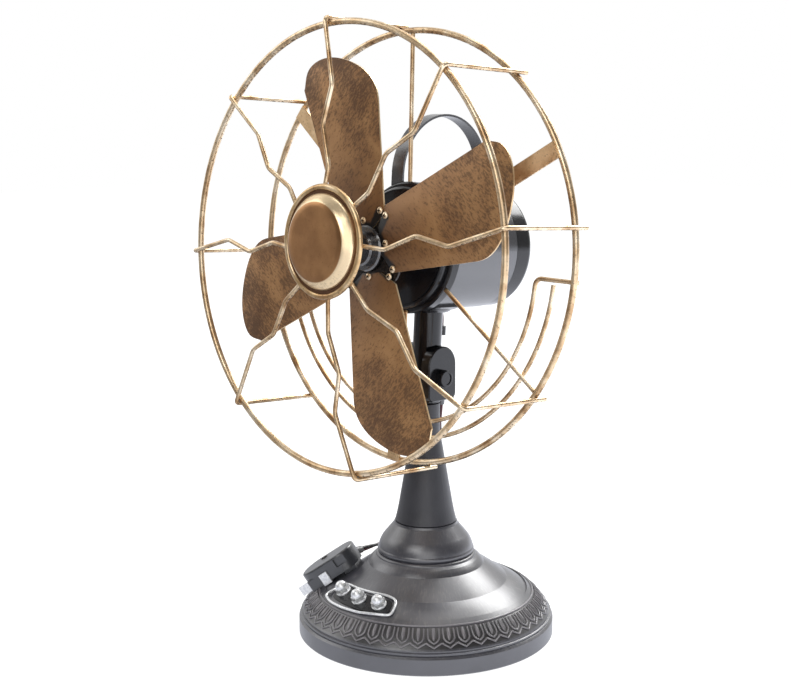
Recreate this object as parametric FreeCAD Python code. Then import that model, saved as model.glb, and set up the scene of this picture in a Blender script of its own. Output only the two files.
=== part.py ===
import FreeCAD, Part
import math
import os

V = FreeCAD.Vector
X_AXIS = V(1, 0, 0)
Y_AXIS = V(0, 1, 0)
Z_AXIS = V(0, 0, 1)
ORIGIN = V(0, 0, 0)

# A vintage-style desk fan ornament. Millimetres, +Z up.
# The origin is the middle of the base's underside, and the fan faces -Y.

# ---- driving dimensions: stand -----------------------------------------------------------
BASE_R = 83.3            # foot wall radius
WALL_TOP = 11.0          # height of the plain foot wall
SHEET = 2.4              # thickness of the spun bell
SEAT_Z = 53.0            # top of the bell, where the cup sits
CUP_R = 31.5
CUP_TOP = 73.4
CONE_FOOT_R = 19.9
CONE_TOP_R = 9.8
CONE_TOP = 130.0
POST_R = 9.2
YOKE_FOOT = 151.5        # top of the lower post
ROD_R = 3.0              # M6 tie rod and clamp bolt
ROD_HOLE_R = 3.3

# ---- driving dimensions: tilt joint ------------------------------------------------------
PIVOT_Z = 169.5          # clamp bolt axis, along X
TILT_REST = -3.66        # degrees about +X: the fan looks slightly up
TONGUE_HALF = 6.0
CHEEK_IN = 7.1
CHEEK_OUT = 14.0
CHEEK_R = 12.3           # round top of each cheek
CHEEK_SHIFT = 1.3        # cheeks stand slightly to the rear of the bolt
SWING_R = 20.4           # the upper post is full-round outside this radius

# ---- driving dimensions: head, measured from the fan axis (y runs front to rear) ---------
AXIS_RISE = 82.5         # fan axis above the pivot
CAN_R = 39.5
FLANGE_R = 41.5
HANDLE_SHIFT = -10.8     # the carry handle stands beside the middle
HANDLE_FRONT = -22.3
HANDLE_TOP = 85.3        # above the fan axis
SADDLE_T = 1.6           # saddle plate between the post and the can
LUG_TOP = 31.4           # cable lug behind the upper post, above the pivot
CAP_FRONT = -29.0        # raised face of the motor's front cap
RIM_FRONT = -23.9        # its outer rim, where the straps lie
CAN_FRONT = -17.0
CAN_REAR = 38.0
CAP_REAR = 54.3
SHAFT_R = 3.0
BUSH_BORE_R = 3.05
BLADE_Y = -57.0          # front face of the blades
BLADE_T = 1.2
BLADES = ((12.4, -1.2), (100.0, -2.8), (192.4, 3.0), (278.7, 1.8))
#        each blade's direction in degrees, and how far out it was riveted
ARM_START = 59.7         # direction of the first of four spider arms
ARM_SCREW_R = 26.2
ARM_SCREW_SPREAD = 5.9   # degrees each side of an arm

# ---- driving dimensions: cage ------------------------------------------------------------
RING_R = 135.0           # centre line of both rings
RING_WIRE = 2.0
WIRE = 1.4               # spokes, stays and rear arcs
FRONT_Y = -81.7
REAR_Y = -21.9
MEDAL_Y = -92.5
MEDAL_R = 34.6
MEDAL_LIFT = 4.4         # the medallion is welded in slightly above the fan axis
SPOKES = ((7.5, 8.9), (48.8, 51.6), (94.3, 96.1), (139.3, 139.1),
          (183.2, 184.8), (227.5, 230.7), (278.5, 281.7), (323.0, 324.8))
#        each spoke's mean direction, and where it crosses the front ring
SPOKE_BENDS = ((50.0, -3.2), (74.5, 3.2), (98.0, -4.2))
#        radius and sideways offset of the three zigzag bends
ARC_INNER_R = 103.5
ARC_INNER_DROP = 6.5     # centre of the inner guard wire, below the fan axis
ARC_MIDDLE_R = 117.5
ARC_MIDDLE_DROP = 2.5
ARC_LEG_Z = -10.0        # the inner wire's level legs
ARC_Y = REAR_Y + RING_WIRE + WIRE
STRAP_ANGLES = (28.6, 141.5, 269.5)
STRAP_WIDTH = 10.4
STRAP_T = 1.2

# ---- driving dimensions: switch plate and cord -------------------------------------------
SWITCH_R_IN = 51.5
SWITCH_R_OUT = 68.5
SWITCH_SPREAD = 25.0     # degrees each side of the front
NUT_R = 58.5
NUT_ANGLES = (-18.1, -0.6, 15.1)
CORD_R = 2.0

NODES = {}


# ---- small helpers -----------------------------------------------------------------------
def at(x, y, z):
    return V(x, y, z)


def turn(profile, axis=Z_AXIS):
    """Solid of revolution. The profile is a closed wire beside the axis."""
    return Part.Face(profile).revolve(ORIGIN, axis, 360)


def lathe(points, axis=Z_AXIS):
    """Revolve a polygon given as (radius, height) pairs, height along the axis."""
    if axis == Z_AXIS:
        places = [V(r, 0, h) for r, h in points]
    else:
        places = [V(r, h, 0) for r, h in points]
    return turn(Part.makePolygon(places + places[:1]), axis)


def rod(start, end, radius):
    return Part.makeCylinder(radius, (end - start).Length, start, end - start)


def polar(radius, degrees, y=0.0):
    """Point round the fan axis, seen from the front: 0 is +X and 90 is up."""
    a = math.radians(degrees)
    return V(radius * math.cos(a), y, radius * math.sin(a))


def rounded_path(points, radii):
    """Wire through points: straight runs joined by tangent arcs of the given radii."""
    edges = []
    start = points[0]
    for before, corner, after, radius in zip(points, points[1:], points[2:], radii):
        back = (before - corner).normalize()
        ahead = (after - corner).normalize()
        half = math.acos(max(-1.0, min(1.0, back.dot(ahead)))) / 2
        reach = radius / math.tan(half)
        arc_in = corner + back * reach
        arc_out = corner + ahead * reach
        middle_way = (back + ahead).normalize()
        centre = corner + middle_way * (radius / math.sin(half))
        arc_mid = centre - middle_way * radius
        edges.append(Part.LineSegment(start, arc_in).toShape())
        edges.append(Part.Arc(arc_in, arc_mid, arc_out).toShape())
        start = arc_out
    edges.append(Part.LineSegment(start, points[-1]).toShape())
    return Part.Wire(edges)


def bend_radii(points):
    """Each bend is as large as its two runs allow."""
    radii = []
    for before, corner, after in zip(points, points[1:], points[2:]):
        turn_by = (corner - before).getAngle(after - corner)
        shorter = min((corner - before).Length, (after - corner).Length)
        radii.append(0.45 * shorter / math.tan(turn_by / 2))
    return radii


def tube(path, radius):
    """Round wire or cord along a path."""
    first = path.Edges[0]
    start = first.valueAt(first.FirstParameter)
    heading = first.tangentAt(first.FirstParameter)
    section = Part.Wire(Part.makeCircle(radius, start, heading))
    return path.makePipeShell([section], True, False)


def fuse(*shapes):
    return shapes[0].multiFuse(list(shapes[1:])).removeSplitter()


def hexagon(across_flats, height, start, axis):
    """Hexagonal prism standing on start, along axis."""
    radius = across_flats / math.sqrt(3)
    corners = [V(radius * math.cos(math.radians(60 * k)), radius * math.sin(math.radians(60 * k)), 0)
               for k in range(7)]
    prism = Part.Face(Part.makePolygon(corners)).extrude(V(0, 0, height))
    prism.Placement = FreeCAD.Placement(start, FreeCAD.Rotation(Z_AXIS, axis))
    return prism


def keep(name, shape):
    """Take a finished stand piece, already in its place."""
    NODES[name] = shape


def keep_head(name, shape, on_axis=True):
    """Take a head piece: lift it to the fan axis, tilt it to rest and set it on the pivot."""
    placed = shape.copy()
    if on_axis:
        placed.translate(V(0, 0, AXIS_RISE))
    placed.rotate(ORIGIN, X_AXIS, TILT_REST)
    placed.translate(V(0, 0, PIVOT_Z))
    NODES[name] = placed


# ---- stand -------------------------------------------------------------------------------
# outside of the bell between its seat and the border band, as (radius, height)
BELL_SLOPE = ((38.0, 46.0), (46.3, 40.6), (53.2, 35.6), (60.5, 32.2), (66.0, 28.7))
BAND_SLOPE = ((66.3, 29.4), (75.8, 21.1), (81.0, 15.0))


def bell_height(radius):
    """Height of the bell's plain slope at a radius, between its own points."""
    for (r0, z0), (r1, z1) in zip(BELL_SLOPE, BELL_SLOPE[1:]):
        if radius <= r1:
            break
    return z0 + (z1 - z0) * (radius - r0) / (r1 - r0)


def base_bell():
    """Hollow spun bell: seat, two beads, plain slope, raised border band and foot wall."""
    slope = [V(r, 0, z) for r, z in BELL_SLOPE]
    band = [V(r, 0, z) for r, z in BAND_SLOPE]
    seat_edge = V(31.0, 0, SEAT_Z)
    bead_end = V(32.7, 0, SEAT_Z - 1.8)
    bead_mid = V(32.2, 0, SEAT_Z - 0.6)
    cove_end = V(34.5, 0, 49.9)
    ridge_mid = V(35.9, 0, 48.6)
    outside = [
        Part.LineSegment(V(ROD_HOLE_R, 0, SEAT_Z), seat_edge).toShape(),
        Part.Arc(seat_edge, bead_mid, bead_end).toShape(),
        Part.LineSegment(bead_end, cove_end).toShape(),
        Part.Arc(cove_end, ridge_mid, slope[0]).toShape(),
        Part.Arc(slope[0], slope[1], slope[2]).toShape(),
        Part.Arc(slope[2], slope[3], slope[4]).toShape(),
        Part.LineSegment(slope[4], band[0]).toShape(),
        Part.Arc(band[0], band[1], band[2]).toShape(),
    ]
    steps = [(81.0, 14.0), (82.1, 13.7), (82.1, 13.0), (81.4, 12.7), (81.4, 12.1),
             (BASE_R - 1.2, 11.7), (BASE_R, WALL_TOP - 0.6), (BASE_R, 0.8), (BASE_R - 0.8, 0),
             (BASE_R - SHEET, 0), (BASE_R - SHEET, 2.4), (BASE_R - SHEET - 1.6, 2.4),
             (BASE_R - SHEET - 1.6, 10.0)]
    wall = [band[-1]] + [V(r, 0, z) for r, z in steps]
    outside += [Part.LineSegment(a, b).toShape() for a, b in zip(wall, wall[1:])]
    inside = [V(78.0, 0, 15.0), V(74.0, 0, 19.6), V(61.0, 0, 28.8), V(50.5, 0, 34.4),
              V(42.5, 0, 39.8), V(34.0, 0, 46.0)]
    inside += [V(30.6, 0, SEAT_Z - SHEET), V(ROD_HOLE_R, 0, SEAT_Z - SHEET), V(ROD_HOLE_R, 0, SEAT_Z)]
    hollow = [wall[-1]] + inside
    back = [Part.LineSegment(a, b).toShape() for a, b in zip(hollow, hollow[1:])]
    return turn(Part.Wire(outside + back))


def base_plate():
    """Dished steel disc that the tie rod pulls up against the bell's ledge."""
    rim = BASE_R - SHEET - 0.1
    return lathe([(ROD_HOLE_R, 9.0), (50, 9.0), (60, 1.2), (rim, 1.2), (rim, 2.4), (61, 2.4),
                  (51, 10.2), (ROD_HOLE_R, 10.2)])


def base_felt():
    """Felt disc glued under the plate, level with the foot wall's edge."""
    return Part.makeCylinder(BASE_R - SHEET - 0.3, 1.2)


def base_cup():
    """Turned cup on top of the bell: undercut lip, full round belly, flat seat."""
    top = V(CONE_FOOT_R + 0.5, 0, CUP_TOP)
    belly_top = V(30.9, 0, 56.6)
    belly_end = V(26.4, 0, 65.4)
    neck = V(20.9, 0, 72.0)
    lip_mid = V(CUP_R, 0, 54.9)
    lip = V(30.6, 0, SEAT_Z)
    hole_low = V(ROD_HOLE_R, 0, SEAT_Z)
    hole_high = V(ROD_HOLE_R, 0, CUP_TOP)
    edges = [
        Part.LineSegment(hole_low, lip).toShape(),
        Part.Arc(lip, lip_mid, belly_top).toShape(),
        Part.Arc(belly_top, V(29.6, 0, 60.6), belly_end).toShape(),
        Part.LineSegment(belly_end, neck).toShape(),
        Part.LineSegment(neck, top).toShape(),
        Part.LineSegment(top, hole_high).toShape(),
        Part.LineSegment(hole_high, hole_low).toShape(),
    ]
    return turn(Part.Wire(edges))


def cone_column():
    """Tapered column with a flared, rounded foot."""
    foot = V(CONE_FOOT_R - 0.6, 0, CUP_TOP)
    flare_low = V(CONE_FOOT_R, 0, CUP_TOP + 0.8)
    flare_high = V(17.6, 0, 84.5)
    taper_end = V(CONE_TOP_R, 0, CONE_TOP)
    hole_low = V(ROD_HOLE_R, 0, CUP_TOP)
    hole_high = V(ROD_HOLE_R, 0, CONE_TOP)
    edges = [
        Part.LineSegment(hole_low, foot).toShape(),
        Part.LineSegment(foot, flare_low).toShape(),
        Part.Arc(flare_low, V(18.8, 0, 78.6), flare_high).toShape(),
        Part.LineSegment(flare_high, taper_end).toShape(),
        Part.LineSegment(taper_end, hole_high).toShape(),
        Part.LineSegment(hole_high, hole_low).toShape(),
    ]
    return turn(Part.Wire(edges))


def lower_post():
    """Round post on the column, bored for the tie rod."""
    return lathe([(ROD_HOLE_R, CONE_TOP), (POST_R, CONE_TOP), (POST_R, YOKE_FOOT), (ROD_HOLE_R, YOKE_FOOT)])


def tie_rod():
    """Threaded rod from under the base plate into the yoke."""
    return rod(at(0, 0, 3.0), at(0, 0, YOKE_FOOT + 3.5), ROD_R)


def tie_washer():
    return lathe([(ROD_HOLE_R, 7.4), (9, 7.4), (9, 9.0), (ROD_HOLE_R, 9.0)])


def tie_nut():
    return hexagon(10, 3.6, at(0, 0, 3.8), Z_AXIS).cut(rod(at(0, 0, 0), at(0, 0, 12), ROD_R))


def cheek(x_from, x_to):
    """One upright cheek of the yoke: round top, square foot with rounded corners."""
    low = YOKE_FOOT + 3.0
    centre_z = low + 22.7
    front = CHEEK_SHIFT - CHEEK_R
    rear = CHEEK_SHIFT + CHEEK_R
    corner = 4.0
    bend = corner * (1 - math.sqrt(0.5))
    edges = [
        Part.LineSegment(at(x_from, front, centre_z), at(x_from, front, low + corner)).toShape(),
        Part.Arc(at(x_from, front, low + corner), at(x_from, front + bend, low + bend),
                 at(x_from, front + corner, low)).toShape(),
        Part.LineSegment(at(x_from, front + corner, low), at(x_from, rear - corner, low)).toShape(),
        Part.Arc(at(x_from, rear - corner, low), at(x_from, rear - bend, low + bend),
                 at(x_from, rear, low + corner)).toShape(),
        Part.LineSegment(at(x_from, rear, low + corner), at(x_from, rear, centre_z)).toShape(),
        Part.Arc(at(x_from, rear, centre_z), at(x_from, CHEEK_SHIFT, centre_z + CHEEK_R),
                 at(x_from, front, centre_z)).toShape(),
    ]
    return Part.Face(Part.Wire(edges)).extrude(V(x_to - x_from, 0, 0))


def tilt_yoke():
    """Casting on the lower post: bevelled collar, floor block and two cheeks."""
    collar = lathe([(0, YOKE_FOOT), (POST_R - 0.7, YOKE_FOOT), (POST_R + 0.5, YOKE_FOOT + 1.4),
                    (POST_R + 0.5, YOKE_FOOT + 5), (0, YOKE_FOOT + 5)])
    floor_front = CHEEK_SHIFT - CHEEK_R + 1.0
    floor_depth = 2 * CHEEK_R - 2.0
    block = Part.makeBox(2 * CHEEK_OUT - 2, floor_depth, 4.2, at(1 - CHEEK_OUT, floor_front, YOKE_FOOT + 3))
    body = fuse(collar, block, cheek(CHEEK_IN, CHEEK_OUT), cheek(-CHEEK_OUT, -CHEEK_IN))
    faces = [e for e in body.Edges if abs(abs(e.CenterOfMass.x) - CHEEK_OUT) < 0.01]
    body = body.makeChamfer(0.7, faces)
    bolt_way = rod(at(-20, 0, PIVOT_Z), at(20, 0, PIVOT_Z), BUSH_BORE_R)
    rod_way = rod(at(0, 0, YOKE_FOOT - 1), at(0, 0, YOKE_FOOT + 3.5), ROD_R)
    return body.cut(bolt_way).cut(rod_way)


def tilt_bolt():
    """Round-headed clamp bolt through both cheeks; the head has a shallow dish."""
    head = rod(at(CHEEK_OUT, 0, PIVOT_Z), at(CHEEK_OUT + 5.2, 0, PIVOT_Z), 5.4)
    head = head.makeFillet(0.6, [e for e in head.Edges if abs(e.CenterOfMass.x - CHEEK_OUT - 5.2) < 0.01])
    dish = rod(at(CHEEK_OUT + 4.6, 0, PIVOT_Z), at(CHEEK_OUT + 6, 0, PIVOT_Z), 3.9)
    shank = rod(at(-CHEEK_OUT - 5.0, 0, PIVOT_Z), at(CHEEK_OUT, 0, PIVOT_Z), ROD_R)
    return fuse(head.cut(dish), shank)


def tilt_nut():
    start = at(-CHEEK_OUT - 4.2, 0, PIVOT_Z)
    return hexagon(10, 4.2, start, X_AXIS).cut(rod(start - X_AXIS, start + X_AXIS * 6, BUSH_BORE_R))


def tilt_washers():
    """Fibre washers stuck to the inner faces of the cheeks."""
    pieces = []
    for side in (1, -1):
        outer = at(side * CHEEK_IN, 0, PIVOT_Z)
        inner = at(side * (CHEEK_IN - 0.8), 0, PIVOT_Z)
        pieces.append(rod(inner, outer, 7.5).cut(rod(inner - X_AXIS * 2, inner + X_AXIS * 2, BUSH_BORE_R)))
    return Part.Compound(pieces)


# ---- head: post, motor and handle ----------------------------------------------------------
def cable_lug():
    """Short round lug on the back of the upper post, where the lead goes in."""
    return rod(at(0.6, POST_R + 2.6, LUG_TOP - 5.8), at(0.6, POST_R + 2.6, LUG_TOP), 3.0)


def upper_post():
    """Round post whose lower end is milled to a tongue, with a cable lug behind."""
    top = AXIS_RISE - CAN_R - SADDLE_T
    full = rod(ORIGIN, at(0, 0, top), POST_R)
    flat = Part.makeBox(2 * TONGUE_HALF, 2 * POST_R, top, at(-TONGUE_HALF, -POST_R, 0))
    swing = rod(at(-20, 0, 0), at(20, 0, 0), SWING_R)
    tongue = fuse(full.common(flat), rod(at(-TONGUE_HALF, 0, 0), at(TONGUE_HALF, 0, 0), POST_R))
    body = fuse(full.cut(swing), tongue, cable_lug())
    return body.cut(rod(at(-20, 0, 0), at(20, 0, 0), BUSH_BORE_R))


def motor_saddle():
    """Curved saddle plate under the motor, with a round collar on the post."""
    inner = rod(at(0, -16, 0), at(0, 20, 0), CAN_R)
    outer = rod(at(0, -13, 0), at(0, 9, 0), CAN_R + SADDLE_T)
    wedge = Part.makePolygon([ORIGIN, polar(60, 243), polar(60, 297), ORIGIN])
    wedge = Part.Face(wedge).extrude(V(0, 40, 0))
    wedge.translate(V(0, -16, 0))
    plate = outer.common(wedge)
    foot = -CAN_R - SADDLE_T
    edge = [at(10.6, 0, foot), at(14.14, 0, foot + 1.46), at(15.6, 0, foot + 5)]
    top = foot + 9
    profile = [
        Part.LineSegment(at(0, 0, foot), edge[0]).toShape(),
        Part.Arc(edge[0], edge[1], edge[2]).toShape(),
        Part.LineSegment(edge[2], at(15.6, 0, top)).toShape(),
        Part.LineSegment(at(15.6, 0, top), at(0, 0, top)).toShape(),
        Part.LineSegment(at(0, 0, top), at(0, 0, foot)).toShape(),
    ]
    return fuse(plate, turn(Part.Wire(profile))).cut(inner)


def motor_can():
    """Rolled steel tube of the motor housing."""
    inner = CAN_R - 1.4
    return lathe([(inner, CAN_FRONT), (CAN_R, CAN_FRONT), (CAN_R, CAN_REAR), (inner, CAN_REAR)], Y_AXIS)


def front_cap():
    """Stepped front cover: boss for the front bush, raised face with a groove, flat outer rim."""
    return lathe([(6.0, CAP_FRONT - 2.0), (9.5, CAP_FRONT - 2.0), (12.5, CAP_FRONT - 0.6), (35.3, CAP_FRONT),
                  (35.5, CAP_FRONT + 1.2), (36.5, CAP_FRONT + 1.2), (36.7, CAP_FRONT + 0.4),
                  (37.4, CAP_FRONT + 0.8), (38.3, CAP_FRONT + 2.1), (38.5, RIM_FRONT), (40.2, RIM_FRONT),
                  (41.1, RIM_FRONT + 0.5), (FLANGE_R, RIM_FRONT + 1.4), (FLANGE_R, CAN_FRONT),
                  (CAN_R - 1.5, CAN_FRONT), (CAN_R - 1.5, CAN_FRONT + 3), (CAN_R - 3.0, CAN_FRONT + 3),
                  (CAN_R - 3.0, CAN_FRONT - 2.5), (6.0, CAN_FRONT - 2.5)], Y_AXIS)


def rear_cap():
    """Pressed rear cover, its neck pushed into the can: rounded edge and a raised disc."""
    rim = CAN_R - 0.4
    neck = CAN_R - 1.4
    wall = neck - 1.4
    bend = 3.4
    bend_mid = bend * (1 - math.sqrt(0.5))
    behind = CAP_REAR - 1.6
    profile = [
        Part.LineSegment(at(0, CAP_REAR + 1.4, 0), at(17, CAP_REAR + 1.4, 0)).toShape(),
        Part.LineSegment(at(17, CAP_REAR + 1.4, 0), at(18.6, CAP_REAR, 0)).toShape(),
        Part.LineSegment(at(18.6, CAP_REAR, 0), at(rim - 5, CAP_REAR, 0)).toShape(),
        Part.Arc(at(rim - 5, CAP_REAR, 0), at(rim - 1.46, CAP_REAR - 1.46, 0), at(rim, CAP_REAR - 5, 0)).toShape(),
        Part.LineSegment(at(rim, CAP_REAR - 5, 0), at(rim, CAN_REAR + 0.8, 0)).toShape(),
        Part.LineSegment(at(rim, CAN_REAR + 0.8, 0), at(neck, CAN_REAR + 0.8, 0)).toShape(),
        Part.LineSegment(at(neck, CAN_REAR + 0.8, 0), at(neck, CAN_REAR - 3, 0)).toShape(),
        Part.LineSegment(at(neck, CAN_REAR - 3, 0), at(wall, CAN_REAR - 3, 0)).toShape(),
        Part.LineSegment(at(wall, CAN_REAR - 3, 0), at(wall, behind - bend, 0)).toShape(),
        Part.Arc(at(wall, behind - bend, 0), at(wall - bend_mid, behind - bend_mid, 0),
                 at(wall - bend, behind, 0)).toShape(),
        Part.LineSegment(at(wall - bend, behind, 0), at(6, behind, 0)).toShape(),
        Part.LineSegment(at(6, behind, 0), at(6, CAP_REAR - 9, 0)).toShape(),
        Part.LineSegment(at(6, CAP_REAR - 9, 0), at(0, CAP_REAR - 9, 0)).toShape(),
        Part.LineSegment(at(0, CAP_REAR - 9, 0), at(0, CAP_REAR + 1.4, 0)).toShape(),
    ]
    return turn(Part.Wire(profile), Y_AXIS)


def rear_bracket():
    """Bulkhead across the can that carries the rear bush."""
    return lathe([(6.0, 18.0), (CAN_R - 1.5, 18.0), (CAN_R - 1.5, 19.6), (9.0, 19.6), (9.0, 26.0),
                  (6.0, 26.0)], Y_AXIS)


def shaft_bushes():
    """Two bronze bushes, pressed into the front cap and the rear bracket."""
    front = lathe([(BUSH_BORE_R, CAP_FRONT - 2.5), (6.0, CAP_FRONT - 2.5), (6.0, CAN_FRONT - 2.5),
                   (BUSH_BORE_R, CAN_FRONT - 2.5)], Y_AXIS)
    rear = lathe([(BUSH_BORE_R, 17.5), (6.0, 17.5), (6.0, 26.5), (BUSH_BORE_R, 26.5)], Y_AXIS)
    return Part.Compound([front, rear])


def carry_handle():
    """Flat strap bent to an arch, from the front flange over to the back of the rear cap."""
    half = 0.7
    inner_rear = CAP_REAR
    front_y = HANDLE_FRONT
    rear_y = inner_rear + half
    mid = (front_y + rear_y) / 2
    reach = (rear_y - front_y) / 2
    spring = HANDLE_TOP - half - reach
    outer = reach + half
    inner = reach - half
    rear_foot = 21.0
    front_foot = 30.0
    edges = [
        Part.LineSegment(at(0, mid - outer, front_foot), at(0, mid - outer, spring)).toShape(),
        Part.Arc(at(0, mid - outer, spring), at(0, mid, spring + outer), at(0, mid + outer, spring)).toShape(),
        Part.LineSegment(at(0, mid + outer, spring), at(0, mid + outer, rear_foot)).toShape(),
        Part.LineSegment(at(0, mid + outer, rear_foot), at(0, mid + inner, rear_foot)).toShape(),
        Part.LineSegment(at(0, mid + inner, rear_foot), at(0, mid + inner, spring)).toShape(),
        Part.Arc(at(0, mid + inner, spring), at(0, mid, spring + inner), at(0, mid - inner, spring)).toShape(),
        Part.LineSegment(at(0, mid - inner, spring), at(0, mid - inner, front_foot)).toShape(),
        Part.LineSegment(at(0, mid - inner, front_foot), at(0, mid - outer, front_foot)).toShape(),
    ]
    strap = Part.Face(Part.Wire(edges)).extrude(V(10, 0, 0))
    strap.translate(V(HANDLE_SHIFT - 5, 0, 0))
    screw = rod(at(HANDLE_SHIFT, rear_y, rear_foot + 5), at(HANDLE_SHIFT, rear_y + 2.2, rear_foot + 5), 3.0)
    return fuse(strap.cut(rod(at(0, -40, 0), at(0, 10, 0), FLANGE_R)), screw)


def motor_lead():
    """Short lead from under the motor's collar down into the lug behind the upper post."""
    points = [at(-0.3, 11.9, LUG_TOP), at(-0.3, 11.9, 36.4), at(-2.0, 12.3, 41.4), at(-3.4, 12.6, 45.4)]
    path = rounded_path(points, bend_radii(points))
    can = rod(at(0, -16, AXIS_RISE), at(0, 30, AXIS_RISE), CAN_R)
    saddle = motor_saddle()
    saddle.translate(V(0, 0, AXIS_RISE))
    return tube(path, CORD_R).cut(can).cut(saddle)


# ---- head: rotor ---------------------------------------------------------------------------
def shaft():
    return rod(at(0, BLADE_Y - 13.5, 0), at(0, 40.0, 0), SHAFT_R)


def shaft_collar():
    """Collar with a grub screw, behind the rear bush."""
    return lathe([(SHAFT_R, 27.0), (6.5, 27.0), (6.5, 33.0), (SHAFT_R, 33.0)], Y_AXIS)


def hub_barrel():
    """Turned barrel between the spider and the motor."""
    back = BLADE_Y + BLADE_T + 1.6
    end = CAP_FRONT - 3.2
    return lathe([(SHAFT_R, back), (15.0, back), (15.0, back + 1.8), (8.6, back + 4.5), (8.0, end),
                  (SHAFT_R, end)], Y_AXIS)


def spider():
    """Cross of four arms behind the blade roots; each arm holds a corner of two blades."""
    back = BLADE_Y + BLADE_T
    arms = [rod(at(0, back, 0), at(0, back + 1.6, 0), 18.5)]
    for number in range(4):
        arm = Part.makeBox(30.5, 1.6, 11.0, at(0, back, -5.5))
        arm = arm.makeFillet(4.0, [e for e in arm.Edges if abs(e.CenterOfMass.x - 30.5) < 0.01
                                   and abs(e.CenterOfMass.y - back - 0.8) < 0.01])
        arm.rotate(ORIGIN, Y_AXIS, -(ARM_START + 90 * number))
        arms.append(arm)
    holes = [rod(at(0, back - 1, 0), at(0, back + 3, 0), SHAFT_R)]
    return fuse(*arms).cut(Part.Compound(holes))


def blade(angle, slip):
    """Flat pressed blade: straight trailing edge, flared leading edge, slanted round tip, notched root."""
    tip = [at(90, 0, -20.2), at(101, 0, -18.2), at(111, 0, -10.2), at(118.6, 0, 1.8), at(123.4, 0, 14.6),
           at(124.8, 0, 26.5), at(122.8, 0, 36.3), at(117.6, 0, 42.6), at(109.0, 0, 45.7), at(100, 0, 44.0)]
    root = [at(21.5, 0, 23.4), at(13.6, 0, 11.0), at(13.2, 0, -5.0), at(22.0, 0, -17.8)]
    curve = Part.BSplineCurve()
    curve.interpolate(Points=tip, InitialTangent=at(1, 0, -0.02), FinalTangent=at(-1, 0, -0.262))
    edges = [
        Part.LineSegment(root[3], tip[0]).toShape(),
        curve.toShape(),
        Part.LineSegment(tip[-1], root[0]).toShape(),
        Part.LineSegment(root[0], root[1]).toShape(),
        Part.LineSegment(root[1], root[2]).toShape(),
        Part.LineSegment(root[2], root[3]).toShape(),
    ]
    sheet = Part.Face(Part.Wire(edges)).extrude(V(0, BLADE_T, 0))
    sheet.translate(V(slip, BLADE_Y, 0))
    sheet.rotate(ORIGIN, Y_AXIS, -angle)
    return sheet


def pan_head(centre, axis, radius, height):
    """Small domed screw head standing on centre."""
    dome = Part.makeSphere(radius * 1.28, ORIGIN)
    dome.translate(V(0, 0, height - radius * 1.28))
    head = Part.makeCylinder(radius, height).common(dome)
    head.Placement = FreeCAD.Placement(centre, FreeCAD.Rotation(Z_AXIS, axis))
    return head


def blade_screws():
    """Twelve pan-head screws: two at the end of each arm and one at each blade's root."""
    places = [(17.2, angle + 2.0) for angle, slip in BLADES]
    for arm in range(4):
        for side in (-ARM_SCREW_SPREAD, ARM_SCREW_SPREAD):
            places.append((ARM_SCREW_R, ARM_START + 90 * arm + side))
    return Part.Compound([pan_head(polar(r, a, BLADE_Y), Y_AXIS * -1, 2.2, 1.6) for r, a in places])


def hub_washer():
    front = BLADE_Y
    return lathe([(SHAFT_R, front - 2.2), (13.2, front - 2.2), (14.2, front - 1.2), (14.2, front), (SHAFT_R, front)],
                 Y_AXIS)


def hub_nut():
    """Round-shouldered nut that clamps the blades: a turned collar with a hexagon in front."""
    seat = BLADE_Y - 2.2
    collar = lathe([(SHAFT_R, seat), (10.8, seat), (10.8, seat - 3.2), (9.6, seat - 4.4), (SHAFT_R, seat - 4.4)],
                   Y_AXIS)
    nut = hexagon(13, 9.0, at(0, seat, 0), Y_AXIS * -1)
    return fuse(collar, nut.cut(rod(at(0, BLADE_Y - 20, 0), at(0, 0, 0), SHAFT_R)))


# ---- head: cage ----------------------------------------------------------------------------
def ring(y):
    return Part.makeTorus(RING_R, RING_WIRE, at(0, y, 0), Y_AXIS)


def spoke(angle, crossing):
    """One wire: zigzag from the medallion to the front ring, then straight back past the rear ring."""
    over = RING_R + RING_WIRE + WIRE
    front = FRONT_Y - RING_WIRE - WIRE
    back = MEDAL_Y + 1.9
    lift = MEDAL_LIFT * math.sin(math.radians(angle))
    slide = MEDAL_LIFT * math.cos(math.radians(angle))
    inner_r = lift + math.sqrt((MEDAL_R - 3.0) ** 2 - slide ** 2)
    points = [V(inner_r, back, 0)]
    for radius, side in SPOKE_BENDS:
        share = (radius - inner_r) / (over - inner_r)
        points.append(V(radius, back + (front - back) * share, side))
    corner = polar(over, crossing - angle)
    points += [V(corner.x, front, corner.z), V(corner.x, REAR_Y + 6.0, corner.z)]
    wire = tube(rounded_path(points, (9.0, 9.0, 9.0, 3.2)), WIRE)
    wire.rotate(ORIGIN, Y_AXIS, -angle)
    return wire


def medal_rim():
    """Medallion dish: flat back, shallow groove and a rolled outer edge."""
    y = MEDAL_Y
    roll = MEDAL_R - 2.0
    profile = [
        Part.LineSegment(at(0, y + 0.5, 0), at(0, y - 0.9, 0)).toShape(),
        Part.LineSegment(at(0, y - 0.9, 0), at(roll - 1.8, y - 0.9, 0)).toShape(),
        Part.Arc(at(roll - 1.8, y - 0.9, 0), at(roll + 0.1, y - 2.1, 0), at(roll + 2.0, y, 0)).toShape(),
        Part.LineSegment(at(roll + 2.0, y, 0), at(roll + 1.6, y + 0.5, 0)).toShape(),
        Part.LineSegment(at(roll + 1.6, y + 0.5, 0), at(0, y + 0.5, 0)).toShape(),
    ]
    dish = turn(Part.Wire(profile), Y_AXIS)
    dish.translate(V(0, 0, MEDAL_LIFT))
    return dish


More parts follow.
